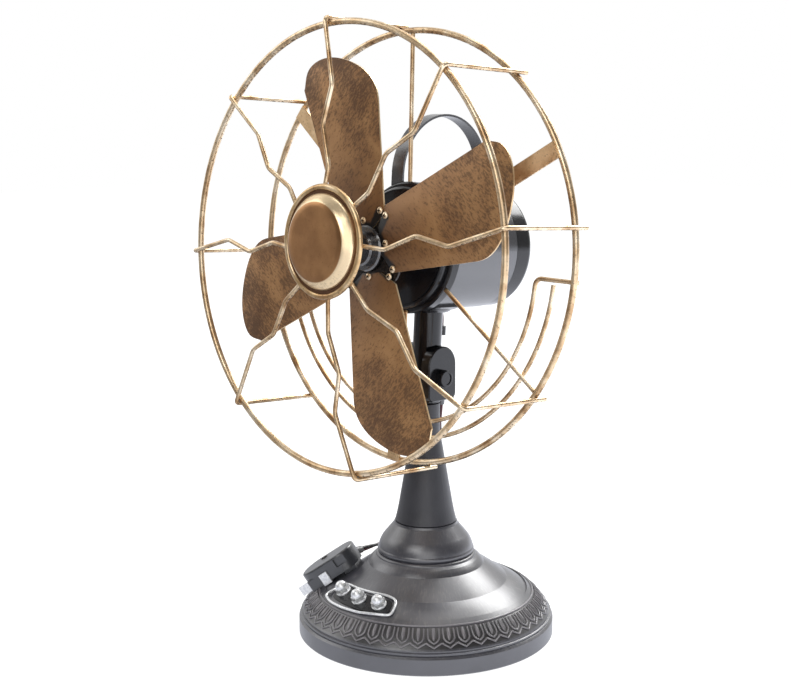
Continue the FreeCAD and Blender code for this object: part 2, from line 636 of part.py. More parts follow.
def medal_cap():
    """Pan-shaped cap welded on the medallion: bevelled side and flat face."""
    seat = MEDAL_Y - 0.9
    cap = lathe([(0, seat), (28.9, seat), (28.9, seat - 1.0), (28.2, seat - 2.0), (24.6, seat - 5.6),
                 (23.0, seat - 6.5), (0, seat - 6.9)], Y_AXIS)
    cap.translate(V(0, 0, MEDAL_LIFT))
    return cap


def rear_arc_inner():
    """Inner guard wire: a half circle whose ends turn out to the rear ring."""
    bend = 5.0
    centre = V(0, ARC_Y, -ARC_INNER_DROP)
    # the circle meets each level leg in a small fillet of radius bend
    fillet_z = ARC_LEG_Z - bend
    fillet_x = math.sqrt((ARC_INNER_R + bend) ** 2 - (fillet_z + ARC_INNER_DROP) ** 2)
    outer = math.sqrt(RING_R ** 2 - ARC_LEG_Z ** 2)
    legs = []
    for side in (1, -1):
        hub = V(side * fillet_x, ARC_Y, fillet_z)
        touch = centre + (hub - centre) * (ARC_INNER_R / (ARC_INNER_R + bend))
        middle = hub + ((touch - hub).normalize() + Z_AXIS).normalize() * bend
        level = V(side * fillet_x, ARC_Y, ARC_LEG_Z)
        legs.append((V(side * outer, ARC_Y, ARC_LEG_Z), level, middle, touch))
    right, left = legs
    edges = [
        Part.LineSegment(right[0], right[1]).toShape(),
        Part.Arc(right[1], right[2], right[3]).toShape(),
        Part.Arc(right[3], centre - Z_AXIS * ARC_INNER_R, left[3]).toShape(),
        Part.Arc(left[3], left[2], left[1]).toShape(),
        Part.LineSegment(left[1], left[0]).toShape(),
    ]
    return tube(Part.Wire(edges), WIRE)


def rear_arc_middle():
    """Middle guard wire, butted under the level legs of the inner one."""
    end_z = ARC_LEG_Z - 2 * WIRE
    side_x = math.sqrt(ARC_MIDDLE_R ** 2 - (end_z + ARC_MIDDLE_DROP) ** 2)
    low = V(0, ARC_Y, -ARC_MIDDLE_R - ARC_MIDDLE_DROP)
    arc = Part.Arc(V(side_x, ARC_Y, end_z), low, V(-side_x, ARC_Y, end_z)).toShape()
    return tube(Part.Wire([arc]), WIRE)


def stay(angle):
    """Straight wire from the motor's flange to the inside of the rear ring."""
    return rod(polar(FLANGE_R, angle, REAR_Y + 1.0), polar(RING_R - RING_WIRE, angle, REAR_Y), WIRE).cut(
        rod(at(0, -40, 0), at(0, 0, 0), FLANGE_R)).cut(ring(REAR_Y))


def cage_strap(angle):
    """Flat strap from the motor's flange to the front side of the rear ring."""
    low = FLANGE_R - 2.6
    length = RING_R - low
    strap = Part.makeBox(length, STRAP_T, STRAP_WIDTH, at(low, RIM_FRONT - STRAP_T, -STRAP_WIDTH / 2))
    strap.rotate(ORIGIN, Y_AXIS, -angle)
    return strap


def strap_screws():
    """Two small screws through each strap into the front cap."""
    screws = []
    for angle in STRAP_ANGLES:
        for side in (-3.8, 3.8):
            centre = polar(FLANGE_R - 0.8, angle + side, RIM_FRONT - STRAP_T)
            screws.append(rod(centre, centre - Y_AXIS * 1.2, 1.6))
    return Part.Compound(screws)


# ---- switch plate --------------------------------------------------------------------------
def bell_normal():
    """Outward direction of the bell's slope under the switch plate, in the front plane."""
    rise = bell_height(SWITCH_R_IN + 1) - bell_height(SWITCH_R_OUT - 4)
    run = SWITCH_R_OUT - 4 - SWITCH_R_IN - 1
    return V(0, -rise, run).normalize()


def on_bell(radius, degrees, proud):
    """Point just above the bell; 0 degrees is the front and positive turns towards +X."""
    a = math.radians(degrees)
    height = bell_height(radius) if radius <= 66.0 else 29.7 - 0.6 * (radius - 66.0)
    n = bell_normal()
    r = radius - n.y * proud
    return V(r * math.sin(a), -r * math.cos(a), height + n.z * proud)


def switch_plate():
    """Thin black plate that follows the bell, under the three nuts."""
    r_in, r_out = SWITCH_R_IN + 2.4, 65.1
    low, high = 0.02, 0.8
    n = bell_normal()
    profile = [V(r_in - n.y * low, 0, bell_height(r_in) + n.z * low),
               V(r_out - n.y * low, 0, bell_height(r_out) + n.z * low + 0.25),
               V(r_out - n.y * high, 0, bell_height(r_out) + n.z * high + 0.25),
               V(r_in - n.y * high, 0, bell_height(r_in) + n.z * high)]
    face = Part.Face(Part.makePolygon(profile + profile[:1]))
    sweep = 2 * SWITCH_SPREAD - 3
    face.rotate(ORIGIN, Z_AXIS, -90 - sweep / 2)
    plate = face.revolve(ORIGIN, Z_AXIS, sweep)
    corners = [e for e in plate.Edges if e.Length < 1.5]
    return plate.makeFillet(4.5, corners).cut(base_bell())


def switch_trim():
    """Bright wire frame round the switch plate, closed and with round corners."""
    proud = 1.2
    places = ((52.6, -10.0), (51.9, 4.0), (51.5, 17.5), (53.3, 25.0), (59.5, 26.1), (64.8, 25.4), (66.4, 17.5),
              (67.8, 6.5), (68.6, -6.0), (68.7, -17.5), (67.6, -26.2), (62.6, -27.0), (55.8, -24.9), (53.2, -21.5))
    points = [on_bell(r, a, proud) for r, a in places]
    start = (points[-1] + points[0]) * 0.5
    half_way = (points[6] + points[7]) * 0.5
    runs = ([start] + points[:7] + [half_way], [half_way] + points[7:] + [start])
    return fuse(*[tube(rounded_path(run, bend_radii(run)), 0.85) for run in runs])


def switch_nut(degrees):
    """Domed cap nut on a round washer, square to the bell."""
    foot = on_bell(NUT_R, degrees, 0.3)
    a = math.radians(degrees)
    n = bell_normal()
    axis = V(-n.y * math.sin(a), n.y * math.cos(a), n.z)
    washer = Part.makeCylinder(4.9, 0.9, foot, axis)
    nut = hexagon(8, 3.4, foot + axis * 0.9, axis)
    dome = Part.makeSphere(3.9, foot + axis * 4.3, axis)
    column = Part.makeCylinder(3.9, 3.0, foot + axis * 1.3, axis)
    return fuse(washer, nut, column, dome).cut(switch_plate()).cut(base_bell())


# ---- cord and plug -------------------------------------------------------------------------
CORD_ROUTE = ((0.8, 12.8, 148.5), (0.4, 12.9, 138.5), (-2.0, 14.5, 127.0), (-8.0, 17.0, 113.0),
              (-13.0, 20.0, 98.5), (-17.5, 23.5, 84.5), (-22.0, 29.0, 71.0), (-27.0, 36.0, 58.0),
              (-37.5, 31.5, 49.0), (-43.0, 20.0, 46.2), (-46.0, 6.0, 45.8), (-45.5, -6.0, 46.2),
              (-43.5, -17.5, 47.0))


def mains_cord():
    """Twin flex, drawn as one round tube of its full width."""
    points = [V(*p) for p in CORD_ROUTE]
    radii = bend_radii(points)
    path = rounded_path(points, radii)
    shape = tube(path, CORD_R)
    ideal = math.pi * CORD_R ** 2 * path.Length
    print("cord length %.1f, tightest bends %s" % (path.Length, [round(r, 1) for r in radii]))
    print("cord volume %.1f of %.1f" % (shape.Volume, ideal))
    return shape


def cord_gland():
    """Tapered gland under the yoke's rear edge, pointing down."""
    x, y, z = CORD_ROUTE[0]
    foot = at(x, y, z + 0.1)
    return Part.makeCone(2.5, 3.1, YOKE_FOOT + 2.9 - z, foot, Z_AXIS).cut(
        rod(at(0, 0, YOKE_FOOT - 6), at(0, 0, YOKE_FOOT + 5), POST_R + 0.5))


PLUG_AZIMUTH = 217.0     # where the plug lies on the bell, from +X
PLUG_RADIUS = 56.5
PLUG_DIP = 34.6


def plug_place(shape):
    """Lay a plug piece on the bell: local +X runs down the slope, +Z away from the bell."""
    a = math.radians(PLUG_AZIMUTH)
    spot = V(PLUG_RADIUS * math.cos(a), PLUG_RADIUS * math.sin(a), bell_height(PLUG_RADIUS))
    placed = shape.copy()
    placed.rotate(ORIGIN, Y_AXIS, PLUG_DIP)
    placed.rotate(ORIGIN, Z_AXIS, PLUG_AZIMUTH)
    placed.translate(spot)
    return placed


def plug_body():
    """Moulded plug: long slab with round ends on a foot, square pin block and an angled cord outlet."""
    slab = Part.makeBox(39.3, 26, 12.0, at(-17.5, -13, 2.0))
    slab = slab.makeFillet(11.5, [e for e in slab.Edges if abs(e.CenterOfMass.z - 8.0) < 0.01])
    slab = slab.makeFillet(1.4, [e for e in slab.Edges if abs(e.CenterOfMass.z - 14.0) < 0.05])
    foot = Part.makeBox(9, 16, 5, at(-14, -8, -3))
    block = Part.makeBox(15.5, 14.5, 7.8, at(3.5, -1.5, 0.9))
    block = block.makeFillet(1.0, [e for e in block.Edges if abs(e.CenterOfMass.z - 4.8) < 0.01])
    bay = Part.makeBox(8.6, 3, 5.6, at(-12.8, 11.4, 6.8))
    body = plug_place(fuse(slab, foot, block).cut(bay))
    end = V(*CORD_ROUTE[-1])
    heading = (end - V(*CORD_ROUTE[-2])).normalize()
    outlet = Part.makeCone(2.3, 2.9, 9.0, end, heading)
    return fuse(body, outlet).cut(base_bell())


def plug_pins():
    """Two flat blades: one out of the block's end, one on its side, whose edge rests on the bell."""
    first = Part.makeBox(7.5, 1.6, 6.4, at(19.0, 9.8, 2.2))
    second = Part.makeBox(5.8, 1.6, 8.0, at(3.4, 13.0, 0.8))
    return Part.Compound([plug_place(first), plug_place(second).cut(base_bell())])


# ---- everything ----------------------------------------------------------------------------
def build():
    keep("base_bell", base_bell())
    keep("base_plate", base_plate())
    keep("base_felt", base_felt())
    keep("base_cup", base_cup())
    keep("cone_column", cone_column())
    keep("lower_post", lower_post())
    keep("tie_rod", tie_rod())
    keep("tie_washer", tie_washer())
    keep("tie_nut", tie_nut())
    keep("tilt_yoke", tilt_yoke())
    keep("tilt_bolt", tilt_bolt())
    keep("tilt_nut", tilt_nut())
    keep("tilt_washers", tilt_washers())
    keep("switch_plate", switch_plate())
    keep("switch_trim", switch_trim())
    keep("switch_nuts", Part.Compound([switch_nut(a) for a in NUT_ANGLES]))
    keep("cord_gland", cord_gland())
    keep("mains_cord", mains_cord())
    keep("plug_body", plug_body())
    keep("plug_pins", plug_pins())
    keep_head("upper_post", upper_post(), on_axis=False)
    keep_head("motor_lead", motor_lead(), on_axis=False)
    keep_head("motor_saddle", motor_saddle())
    keep_head("motor_can", motor_can())
    keep_head("front_cap", front_cap())
    keep_head("rear_cap", rear_cap())
    keep_head("rear_bracket", rear_bracket())
    keep_head("shaft_bushes", shaft_bushes())
    keep_head("carry_handle", carry_handle())
    keep_head("shaft", shaft())
    keep_head("shaft_collar", shaft_collar())
    keep_head("hub_barrel", hub_barrel())
    keep_head("spider", spider())
    for number, (angle, slip) in enumerate(BLADES, 1):
        keep_head("blade_%d" % number, blade(angle, slip))
    keep_head("blade_screws", blade_screws())
    keep_head("hub_washer", hub_washer())
    keep_head("hub_nut", hub_nut())
    keep_head("front_ring", ring(FRONT_Y))
    keep_head("rear_ring", ring(REAR_Y))
    for number, (angle, crossing) in enumerate(SPOKES, 1):
        keep_head("spoke_%d" % number, spoke(angle, crossing))
    keep_head("medal_rim", medal_rim())
    keep_head("medal_cap", medal_cap())
    keep_head("rear_arc_inner", rear_arc_inner())
    keep_head("rear_arc_middle", rear_arc_middle())
    keep_head("top_stay", stay(91.4))
    keep_head("lower_stay", stay(-34.5))
    for number, angle in enumerate(STRAP_ANGLES, 1):
        keep_head("cage_strap_%d" % number, cage_strap(angle))
    keep_head("strap_screws", strap_screws())


def main():
    os.makedirs("parts", exist_ok=True)
    build()
    for name, shape in NODES.items():
        if not shape.isValid():
            print("not valid:", name)
        shape.exportStep("parts/%s.step" % name)
    print(len(NODES), "nodes")


main()
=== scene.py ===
# %% [markdown]
# # A small retro desk fan, turned by hand
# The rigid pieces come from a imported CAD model, where every part already stands in its place. This notebook
# gives them finishes, adds what only shows close up, such as the carved border and the twin flex, and sets up
# a plain studio. Loading the CAD model comes first, because every measure below is taken from it.

# %% Load the CAD model
import math

import bpy
from mathutils import Matrix, Vector


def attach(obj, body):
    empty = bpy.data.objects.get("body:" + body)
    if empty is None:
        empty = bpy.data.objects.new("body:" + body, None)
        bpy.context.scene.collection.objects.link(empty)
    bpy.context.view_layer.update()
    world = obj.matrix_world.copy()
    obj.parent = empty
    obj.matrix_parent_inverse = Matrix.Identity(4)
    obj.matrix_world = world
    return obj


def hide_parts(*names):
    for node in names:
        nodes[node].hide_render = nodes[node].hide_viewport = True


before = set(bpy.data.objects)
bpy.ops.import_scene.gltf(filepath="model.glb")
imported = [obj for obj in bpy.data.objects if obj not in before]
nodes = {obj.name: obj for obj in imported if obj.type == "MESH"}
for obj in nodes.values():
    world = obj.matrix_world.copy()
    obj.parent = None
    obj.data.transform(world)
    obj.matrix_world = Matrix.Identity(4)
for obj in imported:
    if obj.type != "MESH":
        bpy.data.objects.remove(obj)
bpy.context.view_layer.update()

scene = bpy.context.scene
MM = 0.001
print("CAD nodes:", len(nodes))

# %% [markdown]
# ## The camera
# The camera stands to the right of the fan's front and a little above it, about 0.98 m away, and looks
# slightly down. It could be aimed with a constraint, but three plain angles say the same and leave nothing
# live in the scene. A long lens keeps the rings close to true ellipses. The lens is shifted a little, as on a
# view camera, so that the frame sits lower while the uprights stay almost upright.

# %% Camera
CAMERA_PLACE = Vector((644.4, -650.3, 349.9)) * MM
CAMERA_TURN = math.radians(45.953)
CAMERA_DIP = math.radians(8.215)
CAMERA_ROLL = math.radians(-0.155)
SENSOR_WIDTH = 36      # mm
LENS_LENGTH = 65.76    # mm
LENS_SHIFT = -0.05     # in widths of the frame

camera_data = bpy.data.cameras.new("camera")
camera_data.sensor_width = SENSOR_WIDTH
camera_data.lens = LENS_LENGTH
camera_data.shift_y = LENS_SHIFT
camera = bpy.data.objects.new("camera", camera_data)
scene.collection.objects.link(camera)
looking = (Matrix.Rotation(CAMERA_TURN, 4, "Z") @ Matrix.Rotation(math.pi / 2 - CAMERA_DIP, 4, "X")
           @ Matrix.Rotation(CAMERA_ROLL, 4, "Z"))
camera.matrix_world = Matrix.Translation(CAMERA_PLACE) @ looking
scene.camera = camera
scene.view_settings.view_transform = "Standard"
print("camera %.2f m from the middle of the foot" % CAMERA_PLACE.length)

# %% [markdown]
# ## Helpers for materials
# Colours are written as sRGB hex values, as a paint chart gives them. Blender's shaders want linear light, so
# one function converts them. Nodes could be laid out by hand in the shader editor. Here one small function
# adds any node: its inputs are either plain values or the sockets of other nodes, which it links. That keeps
# each finish short enough to read.

# %% Material helpers
def linear(hex_colour):
    """An sRGB hex colour as linear red, green, blue and alpha."""
    parts = [int(hex_colour[i:i + 2], 16) / 255 for i in (1, 3, 5)]
    return [p / 12.92 if p <= 0.04045 else ((p + 0.055) / 1.055) ** 2.4 for p in parts] + [1.0]


def add(tree, kind, inputs=None, stops=None, **settings):
    """Add a node to a tree. Inputs go by name or number; stops are a colour ramp's places and colours."""
    made = tree.nodes.new("ShaderNode" + kind)
    for name, value in settings.items():
        setattr(made, name, value)
    for name, value in (inputs or {}).items():
        if isinstance(value, bpy.types.NodeSocket):
            tree.links.new(value, made.inputs[name])
        else:
            made.inputs[name].default_value = value
    if stops:
        ramp = made.color_ramp
        while len(ramp.elements) < len(stops):
            ramp.elements.new(0.5)
        for element, (place, colour) in zip(ramp.elements, stops):
            element.position = place
            element.color = linear(colour)
    return made


def new_material(name):
    """A material with an output and a Principled shader, and Object coordinates to draw with."""
    material = bpy.data.materials.new(name)
    material.use_nodes = True
    tree = material.node_tree
    tree.nodes.clear()
    output = add(tree, "OutputMaterial")
    shader = add(tree, "BsdfPrincipled")
    tree.links.new(shader.outputs["BSDF"], output.inputs["Surface"])
    place = add(tree, "TexCoord").outputs["Object"]
    return material, tree, shader, place


def dress(tree, shader, colour, roughness, normal):
    """Link a finish's colour, roughness and bumps to its shader."""
    for name, source in (("Base Color", colour), ("Roughness", roughness), ("Normal", normal)):
        tree.links.new(source, shader.inputs[name])


def per_metre(millimetres):
    """A pattern's scale for cells of this real size, since coordinates are in metres."""
    return 1000 / millimetres


print("mid grey in linear light: %.3f" % linear("#808080")[0])

# %% [markdown]
# ## Two masks, for wear and for painted light and shade
# Undersides get more dark specks, as painted shade. Grooves and bevels are rings round a middle, which take
# painted shade and a painted highlight. Such places could be picked out face by face. Two small groups of
# nodes find them instead, one from the surface's direction and one from a distance. Each gives 1 where it
# holds and fades to 0 beside it.

# %% Masks
def facing_down(tree):
    """1 on surfaces that face straight down, falling to 0 on level ones and above."""
    normal = add(tree, "NewGeometry").outputs["Normal"]
    upright = add(tree, "SeparateXYZ", {"Vector": normal}).outputs["Z"]
    return add(tree, "MapRange", {"Value": upright, "From Min": -0.2, "From Max": -1.0}).outputs["Result"]


def ring_share(tree, distance, inner, outer, fade):
    """1 between two distances, fading out just inside and outside them."""
    rising = add(tree, "MapRange", {"Value": distance, "From Min": inner - fade, "From Max": inner})
    falling = add(tree, "MapRange", {"Value": distance, "From Min": outer + fade, "From Max": outer})
    return add(tree, "Math", {0: rising.outputs["Result"], 1: falling.outputs["Result"]},
               operation="MULTIPLY").outputs["Value"]

# %% [markdown]
# ## Gold bronze paint, rubbed over black
# The cage is iron wire, sprayed black and then rubbed over with gold bronze paint. The paint is satin, pale
# and slightly uneven, and the black comes through in small worn specks. The wear could be painted on wires
# laid out flat, but noise in real millimetres needs no unwrapping and suits every piece. A broad noise shifts
# the gold from pale to brown, and a fine one opens the specks. More of them open where the surface faces
# down, and that part is painted shade on the undersides.

# %% Gold bronze paint
GOLD_CLOUDS = 14             # mm, patches where the gold lies thicker or thinner
WORN_SPECKS = 1.5            # mm, specks where the black undercoat shows
SPECK_EDGE = (0.57, 0.69)    # the noise's values where a speck begins and where it is full
# painted shade: more dark specks where a surface faces down, on top of the worn ones
UNDERSIDE_WEAR_AND_SHADE = 0.16        # how much more of it shows where a surface faces down
GOLD_METALLIC = 0.85         # metal flakes in a clear binder, so not quite a bare metal
RING_FADE = 0.5 * MM


def gold_bronze_paint(name, pale, middle, brown, roughness, specks, ring=None):
    """The cage's paint. A ring is a centre, two distances from it and the colour between them."""
    material, tree, shader, place = new_material(name)
    broad = add(tree, "TexNoise", {"Vector": place, "Scale": per_metre(GOLD_CLOUDS), "Detail": 3.0})
    gold = add(tree, "ValToRGB", {"Fac": broad.outputs["Fac"]},
               stops=[(0.34, brown), (0.5, middle), (0.64, pale)]).outputs["Color"]
    # the medallion's rings: painted shade in the dish's groove, and a painted highlight on the cap's bevel
    if ring:
        centre, inner, outer, ring_colour = ring
        away = add(tree, "VectorMath", {0: place, 1: centre}, operation="DISTANCE").outputs["Value"]
        share = ring_share(tree, away, inner, outer, RING_FADE)
        gold = add(tree, "Mix", {0: share, 6: gold, 7: linear(ring_colour)}, data_type="RGBA").outputs[2]
    fine = add(tree, "TexNoise", {"Vector": place, "Scale": per_metre(WORN_SPECKS), "Detail": 5.0,
                                  "Roughness": 0.72})
    # painted shade: more dark specks where the surface faces down
    under = add(tree, "Math", {0: facing_down(tree), 1: UNDERSIDE_WEAR_AND_SHADE}, operation="MULTIPLY")
    reach = add(tree, "Math", {0: fine.outputs["Fac"], 1: under.outputs["Value"]}, operation="ADD")
    worn = add(tree, "MapRange", {"Value": reach.outputs["Value"], "From Min": SPECK_EDGE[0],
                                  "From Max": SPECK_EDGE[1], "To Max": specks}).outputs["Result"]
    colour = add(tree, "Mix", {0: worn, 6: gold, 7: linear("#33251a")}, data_type="RGBA")
    rough = add(tree, "MapRange", {"Value": worn, "To Min": roughness, "To Max": 0.6})
    bump = add(tree, "Bump", {"Height": fine.outputs["Fac"], "Strength": 0.08, "Distance": 0.3 * MM})
    dress(tree, shader, colour.outputs[2], rough.outputs["Result"], bump.outputs["Normal"])
    shader.inputs["Metallic"].default_value = GOLD_METALLIC
    return material


# rubbed wire: pale and satin, with many dark specks
gold_paint = gold_bronze_paint("gold_bronze_paint_over_black", "#ecdabe", "#d6bb96", "#a8855f", 0.3, 0.85)
# flat straps, which the cloth leaves duller and warmer than the wire
strap_paint = gold_bronze_paint("dull_bronze_paint_on_straps", "#efd0a6", "#d9b78c", "#b08a62", 0.42, 0.7)
# the blades' edges: a lighter bronze, partly rubbed bright by handling and partly a painted highlight
edge_wear_and_highlight = gold_bronze_paint("bright_bronze_wear_and_painted_highlight_on_blade_edges", "#e8d2ae", "#d8bd94", "#bd9a70", 0.3, 0.2)
print("gold paints:", gold_paint.name, strap_paint.name, edge_wear_and_highlight.name)

# %% [markdown]
# ## The medallion's two finishes
# The medallion is a pressed dish with a cap in its middle. The groove of the dish is painted a darker brown,
# as painted shade. The cap's turned-over edge is painted pale round a browner face, as a painted highlight.
# The groove and the bevel could be faces with a slot each. A ring at a known distance from the middle does
# the same in the paint, and fades as paint does. The middles are read from the CAD pieces.

# %% Medallion finishes
def middle_of(name):
    """The middle of a CAD piece's box."""
    return sum((Vector(corner) for corner in nodes[name].bound_box), Vector()) / 8


DISH_GROOVE_SHADE = (middle_of("medal_rim"), 28.8 * MM, 31.0 * MM, "#6b4c36")
CAP_BEVEL_HIGHLIGHT = (middle_of("medal_cap"), 24.4 * MM, 40.0 * MM, "#efd6ae")
# the dish: the wire's own gold, with its groove painted brown as painted shade
rim_paint = gold_bronze_paint("gold_bronze_paint_on_dish_with_painted_groove_shade", "#e6cca6", "#d0b184", "#ab875e", 0.3, 0.6,
                              DISH_GROOVE_SHADE)
# the cap: a smooth brown face, smoother than the rest, with a pale bevel that is a painted highlight
medallion_paint = gold_bronze_paint("satin_bronze_paint_on_medallion", "#b38559", "#a87b52", "#9c714b", 0.28,
                                    0.25, CAP_BEVEL_HIGHLIGHT)
print("the cap's middle is %.1f mm up" % (middle_of("medal_cap").z / MM))

# %% [markdown]
# ## Brushed bronze patina on the blades
# The blades are flat steel, painted brown bronze and then dry-brushed with black, so the eye sees smooth
# golden ground with dark hairs on it. The hairs could be painted on by hand. A fine noise, stretched at a
# slant to each blade, draws them instead. They gather where a broad noise is low and towards the tips.
# The blade roots need one more layer, and it comes first here: black paint from the spider has spread over
# them, along the spider's four arms, and its edge is ragged with the same hairs. A cross of two strips, cut
# short at a distance from the hub washer's own middle, gives its outline.

# %% Black paint from the spider
HUB = middle_of("hub_washer")
ARM_DIRECTION = math.radians(59.7)    # the first of the spider's four arms
ARM_HALF_WIDTH = 6.0 * MM
ARM_FADE = 0.6 * MM
ARM_END = 28.5 * MM                   # how far from the hub the paint has spread
ARM_END_FADE = 2.0 * MM
MIDDLE_RADIUS = 16.5 * MM             # inside this the paint covers everything
MIDDLE_FADE = 1.0 * MM
RAGGED = 2.0 * MM                     # how far the hairs push the paint's edge in and out


def spider_paint(tree, place, from_hub, hairs):
    """1 where the spider's black paint has spread over a blade's root, and 0 elsewhere."""
    from_axis = add(tree, "VectorMath", {0: place, 1: HUB}, operation="SUBTRACT")
    on_arms = add(tree, "Mapping", {"Vector": from_axis.outputs["Vector"],
                                    "Rotation": (0.0, ARM_DIRECTION, 0.0)})
    sides = add(tree, "SeparateXYZ", {"Vector": on_arms.outputs["Vector"]})
    off_x, off_z = (add(tree, "Math", {0: sides.outputs[axis]}, operation="ABSOLUTE").outputs["Value"]
                    for axis in "XZ")
    off_arm = add(tree, "Math", {0: off_x, 1: off_z}, operation="MINIMUM")
    ragged = add(tree, "MapRange", {"Value": hairs, "To Min": -RAGGED, "To Max": RAGGED})
    off_edge = add(tree, "Math", {0: off_arm.outputs["Value"], 1: ragged.outputs["Result"]}, operation="ADD")
    strip = add(tree, "MapRange", {"Value": off_edge.outputs["Value"], "From Min": ARM_HALF_WIDTH + ARM_FADE,
                                   "From Max": ARM_HALF_WIDTH - ARM_FADE})
    short = add(tree, "MapRange", {"Value": from_hub, "From Min": ARM_END,
                                   "From Max": ARM_END - ARM_END_FADE})
    on_arm = add(tree, "Math", {0: strip.outputs["Result"], 1: short.outputs["Result"]}, operation="MULTIPLY")
    middle = add(tree, "MapRange", {"Value": from_hub, "From Min": MIDDLE_RADIUS + MIDDLE_FADE,
                                    "From Max": MIDDLE_RADIUS - MIDDLE_FADE})
    return add(tree, "Math", {0: on_arm.outputs["Value"], 1: middle.outputs["Result"]},
               operation="MAXIMUM").outputs["Value"]


print("hub at", [round(value / MM, 1) for value in HUB], "mm")

# %% [markdown]
# ## The patina itself
# The layers go on in order: the golden ground, the darker root, which is a painted shadow of the medallion
# with some grime, the brushed hairs, and the spider's black over everything. Where the black lies, the
# bronze's metal shine is gone too.

# %% Brushed bronze patina
BRUSH_SLANT = 40                     # degrees between the strokes and the blade's own length
BRUSH_HAIR = 1.2                     # mm, drawn several times as coarse as a real hair, so that it shows
HAIR_STRETCH = 0.38                  # under 1, so that a hair is longer than it is wide
HAIR_EDGE = (0.49, 0.60)             # the noise's values where a hair begins and where it is full
PATINA_CLOUDS = 30                   # mm, patches that took more or less of the brush
BLADE_REACH = (45 * MM, 125 * MM)    # from where a blade widens to its tip
HAIRS_OUTWARDS = (-0.03, 0.07)       # fewer hairs near the root and more at the tip
HAIRS_ON_CLOUDS = 0.07               # and as many more or fewer with the patches
# painted shadow of the medallion on the blade roots, with some grime: the ground darkens towards the hub
ROOT_SHADOW_AND_GRIME = (60 * MM, 22 * MM)      # the ground darkens between these distances, towards the hub


def brushed_bronze(number, direction):
    """One blade's finish. Its brush strokes lie at a slant to the blade's own direction."""
    material, tree, shader, place = new_material("dry_brushed_bronze_%d" % number)
    slant = (0.0, math.radians(direction + BRUSH_SLANT), 0.0)
    along = add(tree, "Mapping", {"Vector": place, "Rotation": slant})
    stretched = add(tree, "Mapping", {"Vector": along.outputs["Vector"], "Scale": (1.0, 1.0, HAIR_STRETCH)})
    clouds = add(tree, "TexNoise", {"Vector": place, "Scale": per_metre(PATINA_CLOUDS), "Detail": 4.0,
                                    "Distortion": 0.6}).outputs["Fac"]
    hairs = add(tree, "TexNoise", {"Vector": stretched.outputs["Vector"], "Scale": per_metre(BRUSH_HAIR),
                                   "Detail": 4.0, "Roughness": 0.78}).outputs["Fac"]
    from_hub = add(tree, "VectorMath", {0: place, 1: HUB}, operation="DISTANCE").outputs["Value"]
    # more hairs towards the tip and where the clouds are low
    outwards = add(tree, "MapRange", {"Value": from_hub, "From Min": BLADE_REACH[0],
                                      "From Max": BLADE_REACH[1], "To Min": HAIRS_OUTWARDS[0],
                                      "To Max": HAIRS_OUTWARDS[1]})
    wet = add(tree, "MapRange", {"Value": clouds, "From Min": 0.68, "From Max": 0.32,
                                 "To Min": -HAIRS_ON_CLOUDS, "To Max": HAIRS_ON_CLOUDS})
    gathered = add(tree, "Math", {0: wet.outputs["Result"], 1: outwards.outputs["Result"]}, operation="ADD")
    reach = add(tree, "Math", {0: hairs, 1: gathered.outputs["Value"]}, operation="ADD")
    streak = add(tree, "MapRange", {"Value": reach.outputs["Value"], "From Min": HAIR_EDGE[0],
                                    "From Max": HAIR_EDGE[1], "To Max": 0.64}).outputs["Result"]
    # golden ground, darker at the root as a painted shadow of the medallion and grime, then the hairs and the
    # spider's black over it
    ground = add(tree, "ValToRGB", {"Fac": clouds},
                 stops=[(0.34, "#805b3a"), (0.5, "#8e6843"), (0.66, "#a0784f")])
    root = add(tree, "MapRange", {"Value": from_hub, "From Min": ROOT_SHADOW_AND_GRIME[0], "From Max": ROOT_SHADOW_AND_GRIME[1],
                                  "To Max": 0.6})
    darker = add(tree, "Mix", {0: root.outputs["Result"], 6: ground.outputs["Color"], 7: linear("#54351f")},
                 data_type="RGBA")
    patina = add(tree, "Mix", {0: streak, 6: darker.outputs[2], 7: linear("#38271a")}, data_type="RGBA")
    spread = spider_paint(tree, place, from_hub, hairs)
    colour = add(tree, "Mix", {0: spread, 6: patina.outputs[2], 7: linear("#0f0e0e")}, data_type="RGBA")
    metallic = add(tree, "MapRange", {"Value": spread, "To Min": 0.45, "To Max": 0.0})
    rough = add(tree, "MapRange", {"Value": streak, "To Min": 0.4, "To Max": 0.58})
    bump = add(tree, "Bump", {"Height": hairs, "Strength": 0.2, "Distance": 0.2 * MM})
    dress(tree, shader, colour.outputs[2], rough.outputs["Result"], bump.outputs["Normal"])
    tree.links.new(metallic.outputs["Result"], shader.inputs["Metallic"])
    return material


print("brush hairs %.1f mm wide and %.1f mm long" % (BRUSH_HAIR, BRUSH_HAIR / HAIR_STRETCH))

# %% [markdown]
# ## Rub marks on the stand
# The stand is cast and then sprayed black, and grey rub marks run down its slopes. They could be streaks
# painted on each piece. Here a noise is read round the stand's axis and only slowly along its height, so the
# marks run downhill all round, on every turned piece alike. Upright walls get none.

# %% Rub marks
RUB_MARK = 1.3              # mm, the width of one mark
MARK_RADIUS = 60 * MM       # the marks are as wide as that at this distance from the axis
MARK_STRETCH = 0.45         # under 1, so that a mark is longer downhill than it is wide
MARK_EDGE = (0.52, 0.70)    # the noise's values where a mark begins and where it is full
MARK_SLOPE = (0.05, 0.4)    # how far a surface faces up where the marks begin and where they are full


